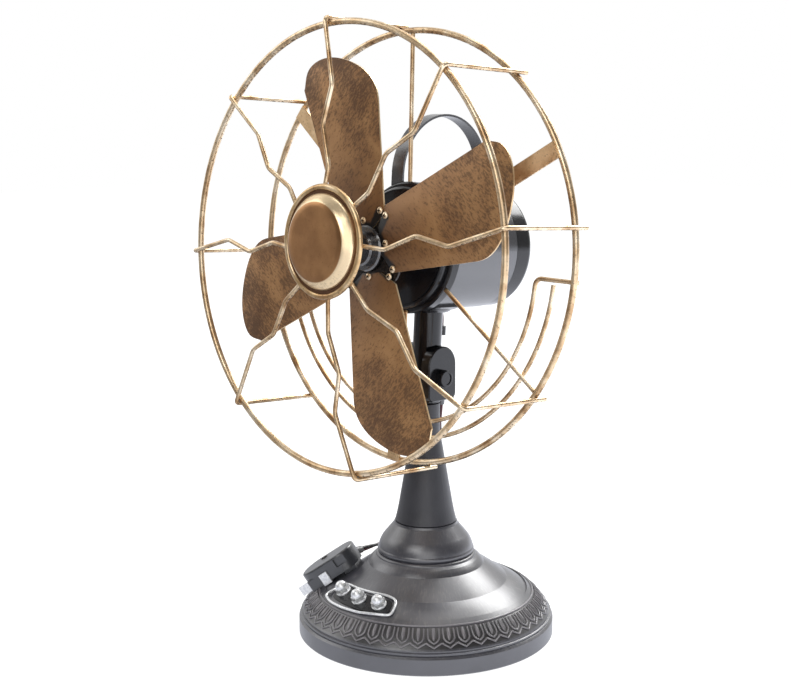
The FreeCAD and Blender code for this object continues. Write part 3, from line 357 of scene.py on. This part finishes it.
def rub_marks(tree, place, level, rubbed):
    """Marks that run downhill on a turned piece, as strong as rubbed says on slopes and none on walls."""
    heading = add(tree, "VectorMath", {0: level}, operation="NORMALIZE").outputs["Vector"]
    around = add(tree, "VectorMath", {0: heading, "Scale": MARK_RADIUS}, operation="SCALE").outputs["Vector"]
    height = add(tree, "VectorMath", {0: place, 1: (0.0, 0.0, MARK_STRETCH)},
                 operation="MULTIPLY").outputs["Vector"]
    downhill = add(tree, "VectorMath", {0: around, 1: height}, operation="ADD").outputs["Vector"]
    runs = add(tree, "TexNoise", {"Vector": downhill, "Scale": per_metre(RUB_MARK), "Detail": 4.0,
                                  "Roughness": 0.65})
    normal = add(tree, "NewGeometry").outputs["Normal"]
    upright = add(tree, "SeparateXYZ", {"Vector": normal}).outputs["Z"]
    sloping = add(tree, "MapRange", {"Value": upright, "From Min": MARK_SLOPE[0], "From Max": MARK_SLOPE[1],
                                     "To Max": rubbed})
    return add(tree, "MapRange", {"Value": runs.outputs["Fac"], "From Min": MARK_EDGE[0],
                                  "From Max": MARK_EDGE[1],
                                  "To Max": sloping.outputs["Result"]}).outputs["Result"]


print("rub marks %.1f mm wide and %.1f mm long" % (RUB_MARK, RUB_MARK / MARK_STRETCH))

# %% [markdown]
# ## Black enamel, from satin to wet
# On the casting the enamel is satin and slightly orange-peeled, on the pressed front cap it is glossy, and on
# the hub it looks wet. A material for each could be built by itself, but they are all one paint, so one
# function makes them from two blacks, a roughness, the strength of the rub marks and the height of the orange
# peel. Enamel's usual IOR is 1.5. A higher one stands for the wax on the casting, with its broad grey sheens.

# %% Black enamel
ENAMEL_CLOUDS = 26          # mm, faint patches in the black
ORANGE_PEEL = 0.9           # mm
PEEL_SPREAD = 0.06          # how far the peel moves the roughness up and down
# painted shade: the ground between and under the carved leaves is darker, as is the black that the rubbing
# missed
UNRUBBED_SHADED_GROUND_INNER = 70.6 * MM    # the darker ground between the carved border's leaves
UNRUBBED_SHADED_GROUND_OUTER = 80.0 * MM
UNRUBBED_SHADED_GROUND_FADE = 0.4 * MM


def black_enamel(name, dark, light, roughness, rubbed=0.0, peel=0.12, ior=2.0, ground=False):
    """Sprayed enamel. Rubbed is the strength of its marks, and ground darkens the border's band, as unrubbed
    black and as painted shade.
    """
    material, tree, shader, place = new_material(name)
    broad = add(tree, "TexNoise", {"Vector": place, "Scale": per_metre(ENAMEL_CLOUDS), "Detail": 4.0})
    base = add(tree, "ValToRGB", {"Fac": broad.outputs["Fac"]}, stops=[(0.35, dark), (0.65, light)])
    level = add(tree, "VectorMath", {0: place, 1: (1.0, 1.0, 0.0)}, operation="MULTIPLY").outputs["Vector"]
    marks = rub_marks(tree, place, level, rubbed)
    colour = add(tree, "Mix", {0: marks, 6: base.outputs["Color"], 7: linear("#77706e")},
                 data_type="RGBA").outputs[2]
    # painted shade, together with black left unrubbed: the border's band is darker
    if ground:
        out = add(tree, "VectorMath", {0: level}, operation="LENGTH").outputs["Value"]
        share = ring_share(tree, out, UNRUBBED_SHADED_GROUND_INNER, UNRUBBED_SHADED_GROUND_OUTER, UNRUBBED_SHADED_GROUND_FADE)
        colour = add(tree, "Mix", {0: share, 6: colour, 7: linear("#171516")}, data_type="RGBA").outputs[2]
    grain = add(tree, "TexNoise", {"Vector": place, "Scale": per_metre(ORANGE_PEEL), "Detail": 3.0})
    rough = add(tree, "MapRange", {"Value": grain.outputs["Fac"], "To Min": roughness - PEEL_SPREAD,
                                   "To Max": roughness + PEEL_SPREAD})
    bump = add(tree, "Bump", {"Height": grain.outputs["Fac"], "Strength": peel, "Distance": 0.3 * MM})
    dress(tree, shader, colour, rough.outputs["Result"], bump.outputs["Normal"])
    shader.inputs["IOR"].default_value = ior
    return material


# the bell and its cup: handled most, so the marks show, and the band under the carving is darker, as unrubbed
# black and as painted shade between the leaves and under the bead
bell_enamel = black_enamel("satin_black_enamel_on_bell", "#29292f", "#35353c", 0.33, rubbed=0.3, ground=True)
# the column: the dullest black, with few marks
stand_enamel = black_enamel("satin_black_enamel_on_cast_iron", "#222227", "#2c2c32", 0.46, rubbed=0.12,
                            ior=1.6)
# the motor housing: smooth steel under the paint, so long clean reflections
motor_enamel = black_enamel("black_enamel_on_pressed_steel", "#1b1b20", "#25252b", 0.22, peel=0.05)
# caps and yoke: a deep black with small bright reflections
gloss_enamel = black_enamel("gloss_black_enamel", "#121215", "#1a1a1d", 0.16, peel=0.03, ior=1.42)
# the hub: thick, uneven and wet, so it breaks the light up into small glints
hub_enamel = black_enamel("wet_black_enamel_on_hub", "#151416", "#221e1e", 0.12, peel=0.3, ior=2.2)
# the carved leaves: a lighter grey, partly rubbed most of all and partly a painted highlight on the raised
# lines, so they stand out grey against their ground
border_enamel = black_enamel("rubbed_black_enamel_with_painted_highlight_on_carving", "#49464b", "#625e62", 0.38, rubbed=0.4)
print("enamels:", sum("enamel" in material.name for material in bpy.data.materials))

# %% [markdown]
# ## Plating, blackened steel, bearing bronze, plastic and felt
# The small parts have plain finishes: satin nickel on the dome nuts, their wire frame, the shaft and the
# plug's blades, blackened steel on the spider and the fixings, bronze bushes, moulded plastic on the plug,
# and felt under the base. Each could be one flat colour, but real ones never are, so every one of them gets a
# fine grain of two near colours, which also moves its roughness a little. The grain is drawn somewhat coarser
# than it is on the real parts, or it wouldn't show at all.

# %% Small finishes
GRAIN_SPREAD = 0.08    # how far the grain moves the roughness up and down


def grained(name, dark, light, grain_mm, roughness, metallic=0.0, bump_strength=0.1, ior=1.5):
    """A finish of two near colours in a fine grain."""
    material, tree, shader, place = new_material(name)
    grain = add(tree, "TexNoise", {"Vector": place, "Scale": per_metre(grain_mm), "Detail": 4.0})
    colour = add(tree, "ValToRGB", {"Fac": grain.outputs["Fac"]}, stops=[(0.38, dark), (0.62, light)])
    rough = add(tree, "MapRange", {"Value": grain.outputs["Fac"], "To Min": roughness - GRAIN_SPREAD,
                                   "To Max": roughness + GRAIN_SPREAD})
    bump = add(tree, "Bump", {"Height": grain.outputs["Fac"], "Strength": bump_strength,
                              "Distance": 0.2 * MM})
    dress(tree, shader, colour.outputs["Color"], rough.outputs["Result"], bump.outputs["Normal"])
    shader.inputs["Metallic"].default_value = metallic
    shader.inputs["IOR"].default_value = ior
    return material


# a dulled mirror, which shows the lamps as soft white shapes
nickel = grained("satin_nickel_plating", "#d4d5d8", "#eceded", 1.5, 0.36, metallic=0.75, bump_strength=0.08)
# dark brown-black with a faint metal shine
black_steel = grained("blackened_steel", "#242120", "#3a3532", 1.2, 0.24, metallic=0.7)
# bare yellow metal, as the lathe left it
bronze_bush = grained("turned_bearing_bronze", "#a98a58", "#c2a26c", 0.8, 0.3, metallic=1.0)
# even black with a soft sheen, from a polished mould
plug_plastic = grained("moulded_black_abs", "#191b20", "#24262c", 0.7, 0.33, ior=1.9)
# a plain red sleeve, satin
lug_plastic = grained("dark_red_moulded_sleeve", "#4a0f1c", "#5c1626", 0.7, 0.4)
# no shine at all, and a rough nap
felt = grained("black_wool_felt", "#16161a", "#26262a", 0.5, 0.9, bump_strength=0.5)
print("materials:", len(bpy.data.materials))

# %% [markdown]
# ## Helpers for curves and meshes
# Wires, strands and carved lines all start as curves, which are quick to place and smooth by themselves. They
# become meshes before they are joined, because meshes of one piece can share a name and a finish. Operators
# act on all that is selected, so each helper deselects everything first.

# %% Curve and mesh helpers
def drop_unused(obj):
    """Delete an object and its data."""
    data = obj.data
    bpy.data.objects.remove(obj)
    store = bpy.data.curves if isinstance(data, bpy.types.Curve) else bpy.data.meshes
    store.remove(data)


def curve_through(name, points, kind, radius=0.0, sides=3):
    """A curve object with one open spline through points, or a round wire if it has a radius."""
    data = bpy.data.curves.new(name, "CURVE")
    data.dimensions = "3D"
    data.bevel_depth = radius
    data.bevel_resolution = sides
    data.use_fill_caps = radius > 0
    data.resolution_u = 12
    spline = data.splines.new(kind)
    spline.points.add(len(points) - 1)
    for point, place in zip(spline.points, points):
        point.co = (*place, 1.0)
    if kind == "NURBS":
        spline.order_u = 3
        spline.use_endpoint_u = True
    obj = bpy.data.objects.new(name, data)
    scene.collection.objects.link(obj)
    return obj


def select_only(obj):
    """Select one object, with nothing else, and make it the active one."""
    for other in bpy.context.selected_objects:
        other.select_set(False)
    obj.select_set(True)
    bpy.context.view_layer.objects.active = obj


def as_mesh(obj):
    """Turn a curve object into a mesh object."""
    select_only(obj)
    bpy.ops.object.convert(target="MESH")
    return bpy.context.view_layer.objects.active


def joined(name, pieces):
    """Join mesh objects into one, named for what it is."""
    select_only(pieces[0])
    for piece in pieces[1:]:
        piece.select_set(True)
    if len(pieces) > 1:
        bpy.ops.object.join()
    whole = bpy.context.view_layer.objects.active
    whole.name = name
    whole.data.name = name
    return whole

# %% [markdown]
# ## The flex's route
# A short twin flex leaves the gland under the yoke, hangs down behind the column and lies round the foot of
# the cup to the plug. A simulation could let it fall, but a flex this short keeps its set. So its route is a
# smooth NURBS curve through a few listed points, and the curve is made a mesh only to read its places.

# %% Flex route
FLEX_ROUTE_MM = ((0.8, 12.8, 148.5), (0.4, 12.9, 138.5), (-2.0, 14.5, 127.0), (-8.0, 17.0, 113.0),
                 (-13.0, 20.0, 98.5), (-17.5, 23.5, 84.5), (-22.0, 29.0, 71.0), (-27.0, 36.0, 58.0),
                 (-37.5, 31.5, 49.0), (-43.0, 20.0, 46.2), (-46.0, 6.0, 45.8), (-45.5, -6.0, 46.2),
                 (-43.5, -17.5, 47.0))

route_curve = curve_through("flex_route", [Vector(p) * MM for p in FLEX_ROUTE_MM], "NURBS")
bpy.context.view_layer.update()
route_mesh = bpy.data.meshes.new_from_object(route_curve)
route = [v.co.copy() for v in route_mesh.vertices]
bpy.data.meshes.remove(route_mesh)
drop_unused(route_curve)
print("places on the route:", len(route))

# %% [markdown]
# ## The flex's two strands
# The flex is a pair of PVC strands, one dark red and one black, that lie side by side and turn slowly round
# each other. One flat tube would hide that. Two round tubes, one on either side of the route, show it and
# still join into one mesh. At each place a sideways arrow is carried along the route and turned a little
# further, and the strands' middles lie at its two ends.

# %% Flex strands
STRAND_RADIUS = 0.98 * MM
STRAND_TURN = 85 * MM      # length in which the pair turns once
STRAND_ROUNDNESS = 4
STRAND_GRAIN = 0.6         # mm

sideways = Vector((1, 0, 0))
travelled = 0.0
strand_lines = ([], [])
for index, place in enumerate(route):
    ahead = (route[min(index + 1, len(route) - 1)] - route[max(index - 1, 0)]).normalized()
    sideways = (sideways - ahead * sideways.dot(ahead)).normalized()
    if index:
        travelled += (place - route[index - 1]).length
    turned = Matrix.Rotation(travelled / STRAND_TURN * 2 * math.pi, 3, ahead) @ sideways
    strand_lines[0].append(place + turned * STRAND_RADIUS)
    strand_lines[1].append(place - turned * STRAND_RADIUS)
strands = [as_mesh(curve_through("strand", line, "POLY", STRAND_RADIUS, STRAND_ROUNDNESS))
           for line in strand_lines]
# extruded PVC: even colour and a soft sheen
flex_colours = (grained("pvc_flex_dark_red", "#4a1320", "#5c1a28", STRAND_GRAIN, 0.4),
                grained("pvc_flex_black", "#1b1a1c", "#242326", STRAND_GRAIN, 0.4))
for strand, colour in zip(strands, flex_colours):
    strand.data.materials.append(colour)
flex = joined("twin_flex", strands)
print("flex length %.1f mm" % (travelled / MM))

# %% [markdown]
# ## Finishes for the CAD pieces
# Each CAD piece takes its finish by name. A long list of single pieces would be easy to get wrong, so a
# prefix is enough where a family of pieces shares one, such as the eight spokes. Only the material slots
# change; the meshes stay as the CAD made them.

# %% Assign finishes
FINISHES = (
    ("base_felt tilt_washers", felt),
    ("base_plate tie_ spider rear_bracket tilt_nut", black_steel),
    ("hub_barrel hub_washer hub_nut", hub_enamel),
    ("cone_column lower_post", stand_enamel),
    ("tilt_yoke tilt_bolt upper_post", gloss_enamel),
    ("base_bell base_cup", bell_enamel),
    ("motor_can motor_saddle carry_handle", motor_enamel),
    ("front_cap rear_cap switch_plate", gloss_enamel),
    ("front_ring rear_ring spoke_ rear_arc_ strap_screws blade_screws", gold_paint),
    ("medal_rim", rim_paint),
    ("cage_strap_", strap_paint),
    ("top_stay lower_stay", gold_paint),
    ("medal_cap", medallion_paint),
    ("switch_trim switch_nuts shaft plug_pins", nickel),
    ("plug_body cord_gland", plug_plastic),
    ("motor_lead", lug_plastic),
    ("shaft_bushes", bronze_bush),
)
for names, finish in FINISHES:
    for prefix in names.split():
        for name, obj in nodes.items():
            if name.startswith(prefix):
                obj.data.materials.clear()
                obj.data.materials.append(finish)
print("finishes given by", sum(len(names.split()) for names, finish in FINISHES), "prefixes")

# %% [markdown]
# ## Bevelled copies of CAD pieces
# The CAD pieces have knife-sharp edges, and real sheet never has. A CAD mesh is left alone, so a piece that
# needs softer edges gets a copy that stands for it. The copy's loose triangles are merged first, or no edge
# would have two faces to bevel between. Rounding the edges in the material would show only in the shading;
# a bevel changes the outline as well, and its faces can take a finish of their own.

# %% Bevelled copies
BEVEL_STEPS = 2
SHARP = math.radians(40)
MERGE_DISTANCE = 1e-6    # m
FACES_FRONT = 0.7        # faces turned further than this from the front and the back belong to the edge


def apply_bevel(obj, width, segments, **settings):
    """Bevel an object's edges and apply the modifier."""
    select_only(obj)
    bpy.ops.object.modifier_add(type="BEVEL")
    bevel = obj.modifiers[-1]
    bevel.width = width
    bevel.segments = segments
    for name, value in settings.items():
        setattr(bevel, name, value)
    bpy.ops.object.modifier_apply(modifier=bevel.name)


def bevelled_copy(source, name, width, finishes):
    """A copy of a CAD piece with merged corners and small bevels. Its edges take the second finish."""
    copy = bpy.data.objects.new(name, source.data.copy())
    scene.collection.objects.link(copy)
    copy.data.materials.clear()
    for finish in finishes:
        copy.data.materials.append(finish)
    select_only(copy)
    bpy.ops.object.mode_set(mode="EDIT")
    bpy.ops.mesh.select_all(action="SELECT")
    bpy.ops.mesh.remove_doubles(threshold=MERGE_DISTANCE)
    bpy.ops.object.mode_set(mode="OBJECT")
    bpy.ops.mesh.customdata_custom_splitnormals_clear()
    apply_bevel(copy, width, BEVEL_STEPS, limit_method="ANGLE", angle_limit=SHARP, material=1)
    for face in copy.data.polygons:
        if abs(face.normal.y) < FACES_FRONT:
            face.material_index = 1
    bpy.ops.object.shade_smooth_by_angle(angle=SHARP)
    return copy

# %% [markdown]
# ## Blades with bright edges
# A thin bright line runs round each blade's edges. It is partly wear, where handling rubs the patina off
# first, and partly a painted highlight. An edge mask in the material would fade out on sheet this thin. A
# tiny bevel with a brighter finish draws the line at its real width. The four blades have the same patina,
# but each has its strokes at its own direction.

# %% Bright blade edges
BLADE_DIRECTIONS = (12.4, 100.0, 192.4, 278.7)    # degrees, one for each blade
BLADE_BEVEL = 0.2 * MM

for number, direction in enumerate(BLADE_DIRECTIONS, 1):
    # the bevels take the lighter bronze: wear and a painted highlight
    finishes = (brushed_bronze(number, direction), edge_wear_and_highlight)
    blade = bevelled_copy(nodes["blade_%d" % number], "patina_blade_%d" % number, BLADE_BEVEL, finishes)
    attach(blade, "rotor")
    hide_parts("blade_%d" % number)
    print(blade.name, "faces:", len(blade.data.polygons))

# %% [markdown]
# ## Cutting with bars
# Slots and cross recesses are cut out with small bars. A groove could be extruded inwards in edit mode, but a
# boolean leaves the head's own faces as they are. All the bars of a piece are joined and cut at once, and
# the cut walls take the bars' finish.

# %% Cutting bars
def bar_at(place, length, width, depth):
    """A cutting bar in its own frame, whose walls take the cut piece's second finish."""
    bpy.ops.mesh.primitive_cube_add(size=1)
    bar = bpy.context.active_object
    bar.data.transform(place @ Matrix.Diagonal((length, width, depth, 1)))
    # two slots as in the cut piece, so that the second one's number means its second finish
    bar.data.materials.append(gold_paint)
    bar.data.materials.append(black_steel)
    for face in bar.data.polygons:
        face.material_index = 1
    return bar


def cut_out(piece, bars):
    """Cut bars out of a piece."""
    tool = joined("bars", bars)
    select_only(piece)
    bpy.ops.object.modifier_add(type="BOOLEAN")
    cut = piece.modifiers[-1]
    cut.operation = "DIFFERENCE"
    cut.solver = "EXACT"
    cut.use_self = True
    cut.object = tool
    bpy.ops.object.modifier_apply(modifier=cut.name)
    drop_unused(tool)

# %% [markdown]
# ## Cross recesses in the blade screws
# The blades are held by small screws with cross recesses, each stopped at a turn of its own. The crosses
# could be drawn in the material, but a cut one catches the light as the rotor turns. The heads are found as
# the loose parts of their shared mesh, and two bars are laid across each head's top. The recesses keep the
# black undercoat, because the gold was rubbed on over them.

# %% Screw recesses
RECESS_LENGTH = 2.6 * MM
RECESS_WIDTH = 0.62 * MM
RECESS_DEPTH = 0.9 * MM
HEAD_BEVEL = 0.12 * MM
TURN_BETWEEN = 0.7    # radians from one screw's turn to the next one's

screws = bevelled_copy(nodes["blade_screws"], "cross_head_screws", HEAD_BEVEL, (gold_paint, black_steel))
for face in screws.data.polygons:
    face.material_index = 0
heads = bpy.data.objects.new("heads", screws.data.copy())
scene.collection.objects.link(heads)
select_only(heads)
bpy.ops.mesh.separate(type="LOOSE")
loose_heads = sorted(bpy.context.selected_objects, key=lambda head: tuple(head.data.vertices[0].co))
rotor_axis = (middle_of("hub_nut") - middle_of("hub_washer")).normalized()
facing = rotor_axis.to_track_quat("Z", "Y").to_matrix().to_4x4()
bars = []
for number, head in enumerate(loose_heads):
    corners = [v.co for v in head.data.vertices]
    centre = sum(corners, Vector()) / len(corners)
    top = max((corner - centre).dot(rotor_axis) for corner in corners)
    spot = Matrix.Translation(centre + rotor_axis * top) @ facing
    for quarter in (0, 1):
        turn = Matrix.Rotation(number * TURN_BETWEEN + quarter * math.pi / 2, 4, "Z")
        bars.append(bar_at(spot @ turn, RECESS_LENGTH, RECESS_WIDTH, RECESS_DEPTH))
for head in loose_heads:
    drop_unused(head)
cut_out(screws, bars)
print("screw heads:", len(loose_heads), "faces:", len(screws.data.polygons))
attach(screws, "rotor")
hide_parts("blade_screws")

# %% [markdown]
# ## The plug's cover screw, and where the flex belongs
# One slotted screw holds the plug's cover. The plug lies on the bell's slope, so the screw is made in the
# plug's own frame, on top of its slab: a short cylinder with a rounded edge and one bar cut out of it. The
# screw and the flex both go with the stand, and the CAD model's own cord is hidden.

# %% Plug screw
PLUG_SPOT = Vector((-45.12, -34.0, 34.06)) * MM
PLUG_TURN = math.radians(217.0)
PLUG_SLOPE = math.radians(34.6)
SCREW_ON_PLUG = Vector((5.5, -5.0, 14.0)) * MM
SCREW_RADIUS = 2.4 * MM
SCREW_HEIGHT = 1.4 * MM
SCREW_ROUNDING = 0.3 * MM
SCREW_SIDES = 40
SLOT = (5.2 * MM, 1.0 * MM, 0.9 * MM)    # length, width and depth
SLOT_TURN = math.radians(70)

plug_frame = (Matrix.Translation(PLUG_SPOT) @ Matrix.Rotation(PLUG_TURN, 4, "Z")
              @ Matrix.Rotation(PLUG_SLOPE, 4, "Y"))
screw_place = plug_frame @ Matrix.Translation(SCREW_ON_PLUG)
bpy.ops.mesh.primitive_cylinder_add(vertices=SCREW_SIDES, radius=SCREW_RADIUS, depth=SCREW_HEIGHT)
plug_screw = bpy.context.active_object
plug_screw.name = "plug_screw"
plug_screw.data.name = "plug_screw"
plug_screw.data.transform(screw_place)
for finish in (black_steel, black_steel):    # the head, and the walls of its slot
    plug_screw.data.materials.append(finish)
apply_bevel(plug_screw, SCREW_ROUNDING, 3)
slot_place = (screw_place @ Matrix.Translation((0, 0, SCREW_HEIGHT / 2))
              @ Matrix.Rotation(SLOT_TURN, 4, "Z"))
cut_out(plug_screw, [bar_at(slot_place, *SLOT)])
select_only(plug_screw)
bpy.ops.object.shade_smooth_by_angle(angle=SHARP)
print("plug screw faces:", len(plug_screw.data.polygons))
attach(plug_screw, "stand")
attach(flex, "stand")
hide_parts("mains_cord")

# %% [markdown]
# ## The medallion's cap
# The cap is pressed from sheet, so its edges are soft, where the CAD piece's are sharp. Smooth shading alone
# would leave a bright dot in its middle, because loose triangles share no corners. A copy with merged corners
# and a small bevel shades as pressed sheet does.

# %% Pressed cap
CAP_ROUNDING = 0.4 * MM

cap = bevelled_copy(nodes["medal_cap"], "pressed_cap", CAP_ROUNDING, (medallion_paint, medallion_paint))
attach(cap, "head")
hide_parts("medal_cap")
print("cap faces:", len(cap.data.polygons))

# %% [markdown]
# ## The slope under the carved border
# The border lies on a band of the bell that curves as a circle does. Three points of that curve are known,
# and the circle through them says where every carved line lies, so that the leaves sit exactly on the bell.

# %% Border slope
LEAVES = 50
FIRST_LEAF = math.radians(-92.0)    # direction of the first leaf's middle
BORDER_TOP = (66.3, 29.4)           # distance from the axis and height in mm, where the border starts
BORDER_MIDDLE = (75.8, 21.1)
BORDER_FOOT = (81.0, 15.0)


def circle_through(a, b, c):
    """Centre and radius of the circle through three points."""
    d = 2 * (a[0] * (b[1] - c[1]) + b[0] * (c[1] - a[1]) + c[0] * (a[1] - b[1]))
    a2, b2, c2 = (p[0] ** 2 + p[1] ** 2 for p in (a, b, c))
    x = (a2 * (b[1] - c[1]) + b2 * (c[1] - a[1]) + c2 * (a[1] - b[1])) / d
    y = (a2 * (c[0] - b[0]) + b2 * (a[0] - c[0]) + c2 * (b[0] - a[0])) / d
    return x, y, math.hypot(a[0] - x, a[1] - y)


slope_r, slope_z, slope_radius = circle_through(BORDER_TOP, BORDER_MIDDLE, BORDER_FOOT)
start_angle = math.atan2(BORDER_TOP[1] - slope_z, BORDER_TOP[0] - slope_r)
end_angle = math.atan2(BORDER_FOOT[1] - slope_z, BORDER_FOOT[0] - slope_r)


def on_border(across, down, proud):
    """A point on the border: across in leaf widths from a leaf's middle, down from 0 to 1, proud in mm."""
    slope = start_angle + (end_angle - start_angle) * down
    r = slope_r + (slope_radius + proud) * math.cos(slope)
    z = slope_z + (slope_radius + proud) * math.sin(slope)
    turn = FIRST_LEAF + across * 2 * math.pi / LEAVES
    return Vector((r * math.cos(turn), r * math.sin(turn), z)) * MM


print("border slope radius %.1f mm" % slope_radius)

# %% [markdown]
# ## The carved border
# A border of pointed leaves runs round the rim of the base. On the real casting each leaf is a raised lobe
# inside a pointed frame, a zigzag line joins the frames' tips below, and a thin bead runs along their tops.
# The whole ring could be sculpted. But one leaf's share of it is four curves, given as places across and down
# the slope, and copies of that leaf, each turned a little further, make the ring.

# %% Carved border
FRAME_LINE = ((-0.36, 0.29), (-0.375, 0.45), (-0.36, 0.61), (-0.24, 0.70), (0.0, 0.775), (0.24, 0.70),
              (0.36, 0.61), (0.375, 0.45), (0.36, 0.29))
LOBE_LINE = ((0.0, 0.29), (0.0, 0.38), (0.0, 0.5), (0.0, 0.6), (0.0, 0.67))
LOBE_WIDTHS = (0.9, 1.0, 1.0, 0.95, 0.45)
ZIGZAG_LINE = ((-0.5, 0.755), (-0.46, 0.765), (0.0, 0.905), (0.46, 0.765), (0.5, 0.755))
BEAD_LINE = ((-0.5, 0.215), (0.5, 0.215))
# name, line, how far its middle stands proud in mm, kind of curve, radius and roundness
CARVED_LINES = (("leaf_frame", FRAME_LINE, 0.15, "POLY", 0.62 * MM, 1),
                ("leaf_lobe", LOBE_LINE, -0.2, "NURBS", 1.3 * MM, 2),
                ("zigzag", ZIGZAG_LINE, 0.1, "POLY", 0.62 * MM, 1),
                ("bead", BEAD_LINE, 0.2, "POLY", 0.75 * MM, 2))
LOBE_STEPS = 2    # points between two of the lobe's own

wires = [curve_through(name, [on_border(across, down, proud) for across, down in line], kind, radius, sides)
         for name, line, proud, kind, radius, sides in CARVED_LINES]
lobe_wire = wires[1]
lobe_wire.data.resolution_u = LOBE_STEPS
for point, width in zip(lobe_wire.data.splines[0].points, LOBE_WIDTHS):
    point.radius = width
leaf = joined("leaf", [as_mesh(wire) for wire in wires])
leaves = [leaf]
for number in range(1, LEAVES):
    copy = bpy.data.objects.new("leaf_%d" % number, leaf.data.copy())
    copy.data.transform(Matrix.Rotation(number * 2 * math.pi / LEAVES, 4, "Z"))
    scene.collection.objects.link(copy)
    leaves.append(copy)
border = joined("border_leaves", leaves)
# the carving takes the lighter enamel: rub marks and a painted highlight on the raised lines
border.data.materials.clear()
border.data.materials.append(border_enamel)
select_only(border)
bpy.ops.object.shade_smooth()
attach(border, "stand")
print("border faces:", len(border.data.polygons))

# %% [markdown]
# ## The floor
# The fan stands on a pale floor, as for a catalogue. More light could make the floor white, but it would wash
# out the fan as well. So the floor glows a little by itself, for the camera only, and its matt surface still
# takes the fan's shadow. Polished pieces see another floor: one that brightens from left to right, as beside
# a window, which draws long soft reflections in the black enamel.

# %% Floor
FLOOR_SIDE = 8               # m
FLOOR_GLOW = 1.28
GLOW_SHARE = 0.7             # the rest of what the camera sees is the matt surface
TO_THE_RIGHT = (0.71, 0.70, 0.0)
SHEEN_REACH = 0.4            # m to either side of the fan, from the dimmest to the brightest
SHEEN_LEFT = 0.45
SHEEN_RIGHT = 2.3

bpy.ops.mesh.primitive_plane_add(size=FLOOR_SIDE, location=(0, 0, 0))
floor = bpy.context.active_object
floor.name = "floor"
floor_material, tree, shader, place = new_material("pale_floor")
shader.inputs["Base Color"].default_value = linear("#f2f2f2")
shader.inputs["Roughness"].default_value = 0.9
glow = add(tree, "Emission", {"Color": linear("#ffffff"), "Strength": FLOOR_GLOW})
path = add(tree, "LightPath")
share = add(tree, "Math", {0: path.outputs["Is Camera Ray"], 1: GLOW_SHARE}, operation="MULTIPLY")
seen = add(tree, "MixShader", {0: share.outputs["Value"], 1: shader.outputs["BSDF"],
                               2: glow.outputs["Emission"]})
aside = add(tree, "VectorMath", {0: place, 1: TO_THE_RIGHT}, operation="DOT_PRODUCT")
bright = add(tree, "MapRange", {"Value": aside.outputs["Value"], "From Min": -SHEEN_REACH,
                                "From Max": SHEEN_REACH, "To Min": SHEEN_LEFT, "To Max": SHEEN_RIGHT})
sheen = add(tree, "Emission", {"Color": linear("#f2f5ff"), "Strength": bright.outputs["Result"]})
mirrored = add(tree, "MixShader", {0: path.outputs["Is Glossy Ray"], 1: seen.outputs["Shader"],
                                   2: sheen.outputs["Emission"]})
floor_output = next(node for node in tree.nodes if node.type == "OUTPUT_MATERIAL")
tree.links.new(mirrored.outputs["Shader"], floor_output.inputs["Surface"])
floor.data.materials.append(floor_material)
print("floor side %d m" % FLOOR_SIDE)

# %% [markdown]
# ## The background
# The background is white for the camera and a plain soft light for everything else. In mirrors it is bright
# behind the fan and dim in front, because an even white all round would turn black enamel grey.

# %% Background
WORLD_LIGHT = 0.6
WORLD_WHITE = 1.0
TO_THE_BACK = (-0.7, 0.7, -0.15)
BACK_EDGE = (-0.25, 0.6)     # how far a direction points to the back where it is dimmest and brightest
MIRROR_DIM = 0.1
MIRROR_BRIGHT = 1.0

world = bpy.data.worlds.new("studio")
scene.world = world
world.use_nodes = True
tree = world.node_tree
tree.nodes.clear()
path = add(tree, "LightPath")
plain = add(tree, "Background", {"Color": linear("#ffffff"), "Strength": WORLD_LIGHT})
white = add(tree, "Background", {"Color": linear("#ffffff"), "Strength": WORLD_WHITE})
heading = add(tree, "TexCoord").outputs["Generated"]
behind = add(tree, "VectorMath", {0: heading, 1: TO_THE_BACK}, operation="DOT_PRODUCT")
sweep = add(tree, "MapRange", {"Value": behind.outputs["Value"], "From Min": BACK_EDGE[0],
                               "From Max": BACK_EDGE[1], "To Min": MIRROR_DIM, "To Max": MIRROR_BRIGHT})
mirrored = add(tree, "Background", {"Color": linear("#ffffff"), "Strength": sweep.outputs["Result"]})
lit = add(tree, "MixShader", {0: path.outputs["Is Glossy Ray"], 1: plain.outputs["Background"],
                              2: mirrored.outputs["Background"]})
shown = add(tree, "MixShader", {0: path.outputs["Is Camera Ray"], 1: lit.outputs["Shader"],
                                2: white.outputs["Background"]})
add(tree, "OutputWorld", {"Surface": shown.outputs["Shader"]})
print("world nodes:", len(tree.nodes))

# %% [markdown]
# ## The lamps
# Five large soft lamps light the fan: a key lamp from the front, a broad panel behind the camera, a weak one
# from the left, a strong one behind that draws the line along the motor housing's top, and one above. Small
# lamps would give hard shadows and specks. Together they stay at a level at which colours look as written.

# %% Lamps
# name, place in m, width, height and power in W
LAMPS = (("key", (0.42, -1.5, 1.35), 0.9, 0.9, 9.0),
         ("panel", (1.15, -1.2, 0.6), 1.4, 1.1, 7.0),
         ("left", (-1.3, -0.7, 1.1), 1.0, 1.0, 5.0),
         ("back", (-0.1, 1.45, 1.5), 1.25, 0.9, 34.0),
         ("top", (0.0, 0.2, 1.9), 1.2, 1.2, 10.0))
AIM = Vector((0, 0, 0.2))    # the fan's middle

for name, place, width, height, power in LAMPS:
    lamp_data = bpy.data.lights.new(name, "AREA")
    lamp_data.shape = "RECTANGLE"
    lamp_data.size = width
    lamp_data.size_y = height
    lamp_data.energy = power
    lamp = bpy.data.objects.new(name, lamp_data)
    lamp.location = place
    lamp.rotation_euler = (AIM - Vector(place)).to_track_quat("-Z", "Y").to_euler()
    scene.collection.objects.link(lamp)
print("lamps: %d, %.0f W in all" % (len(LAMPS), sum(row[-1] for row in LAMPS)))
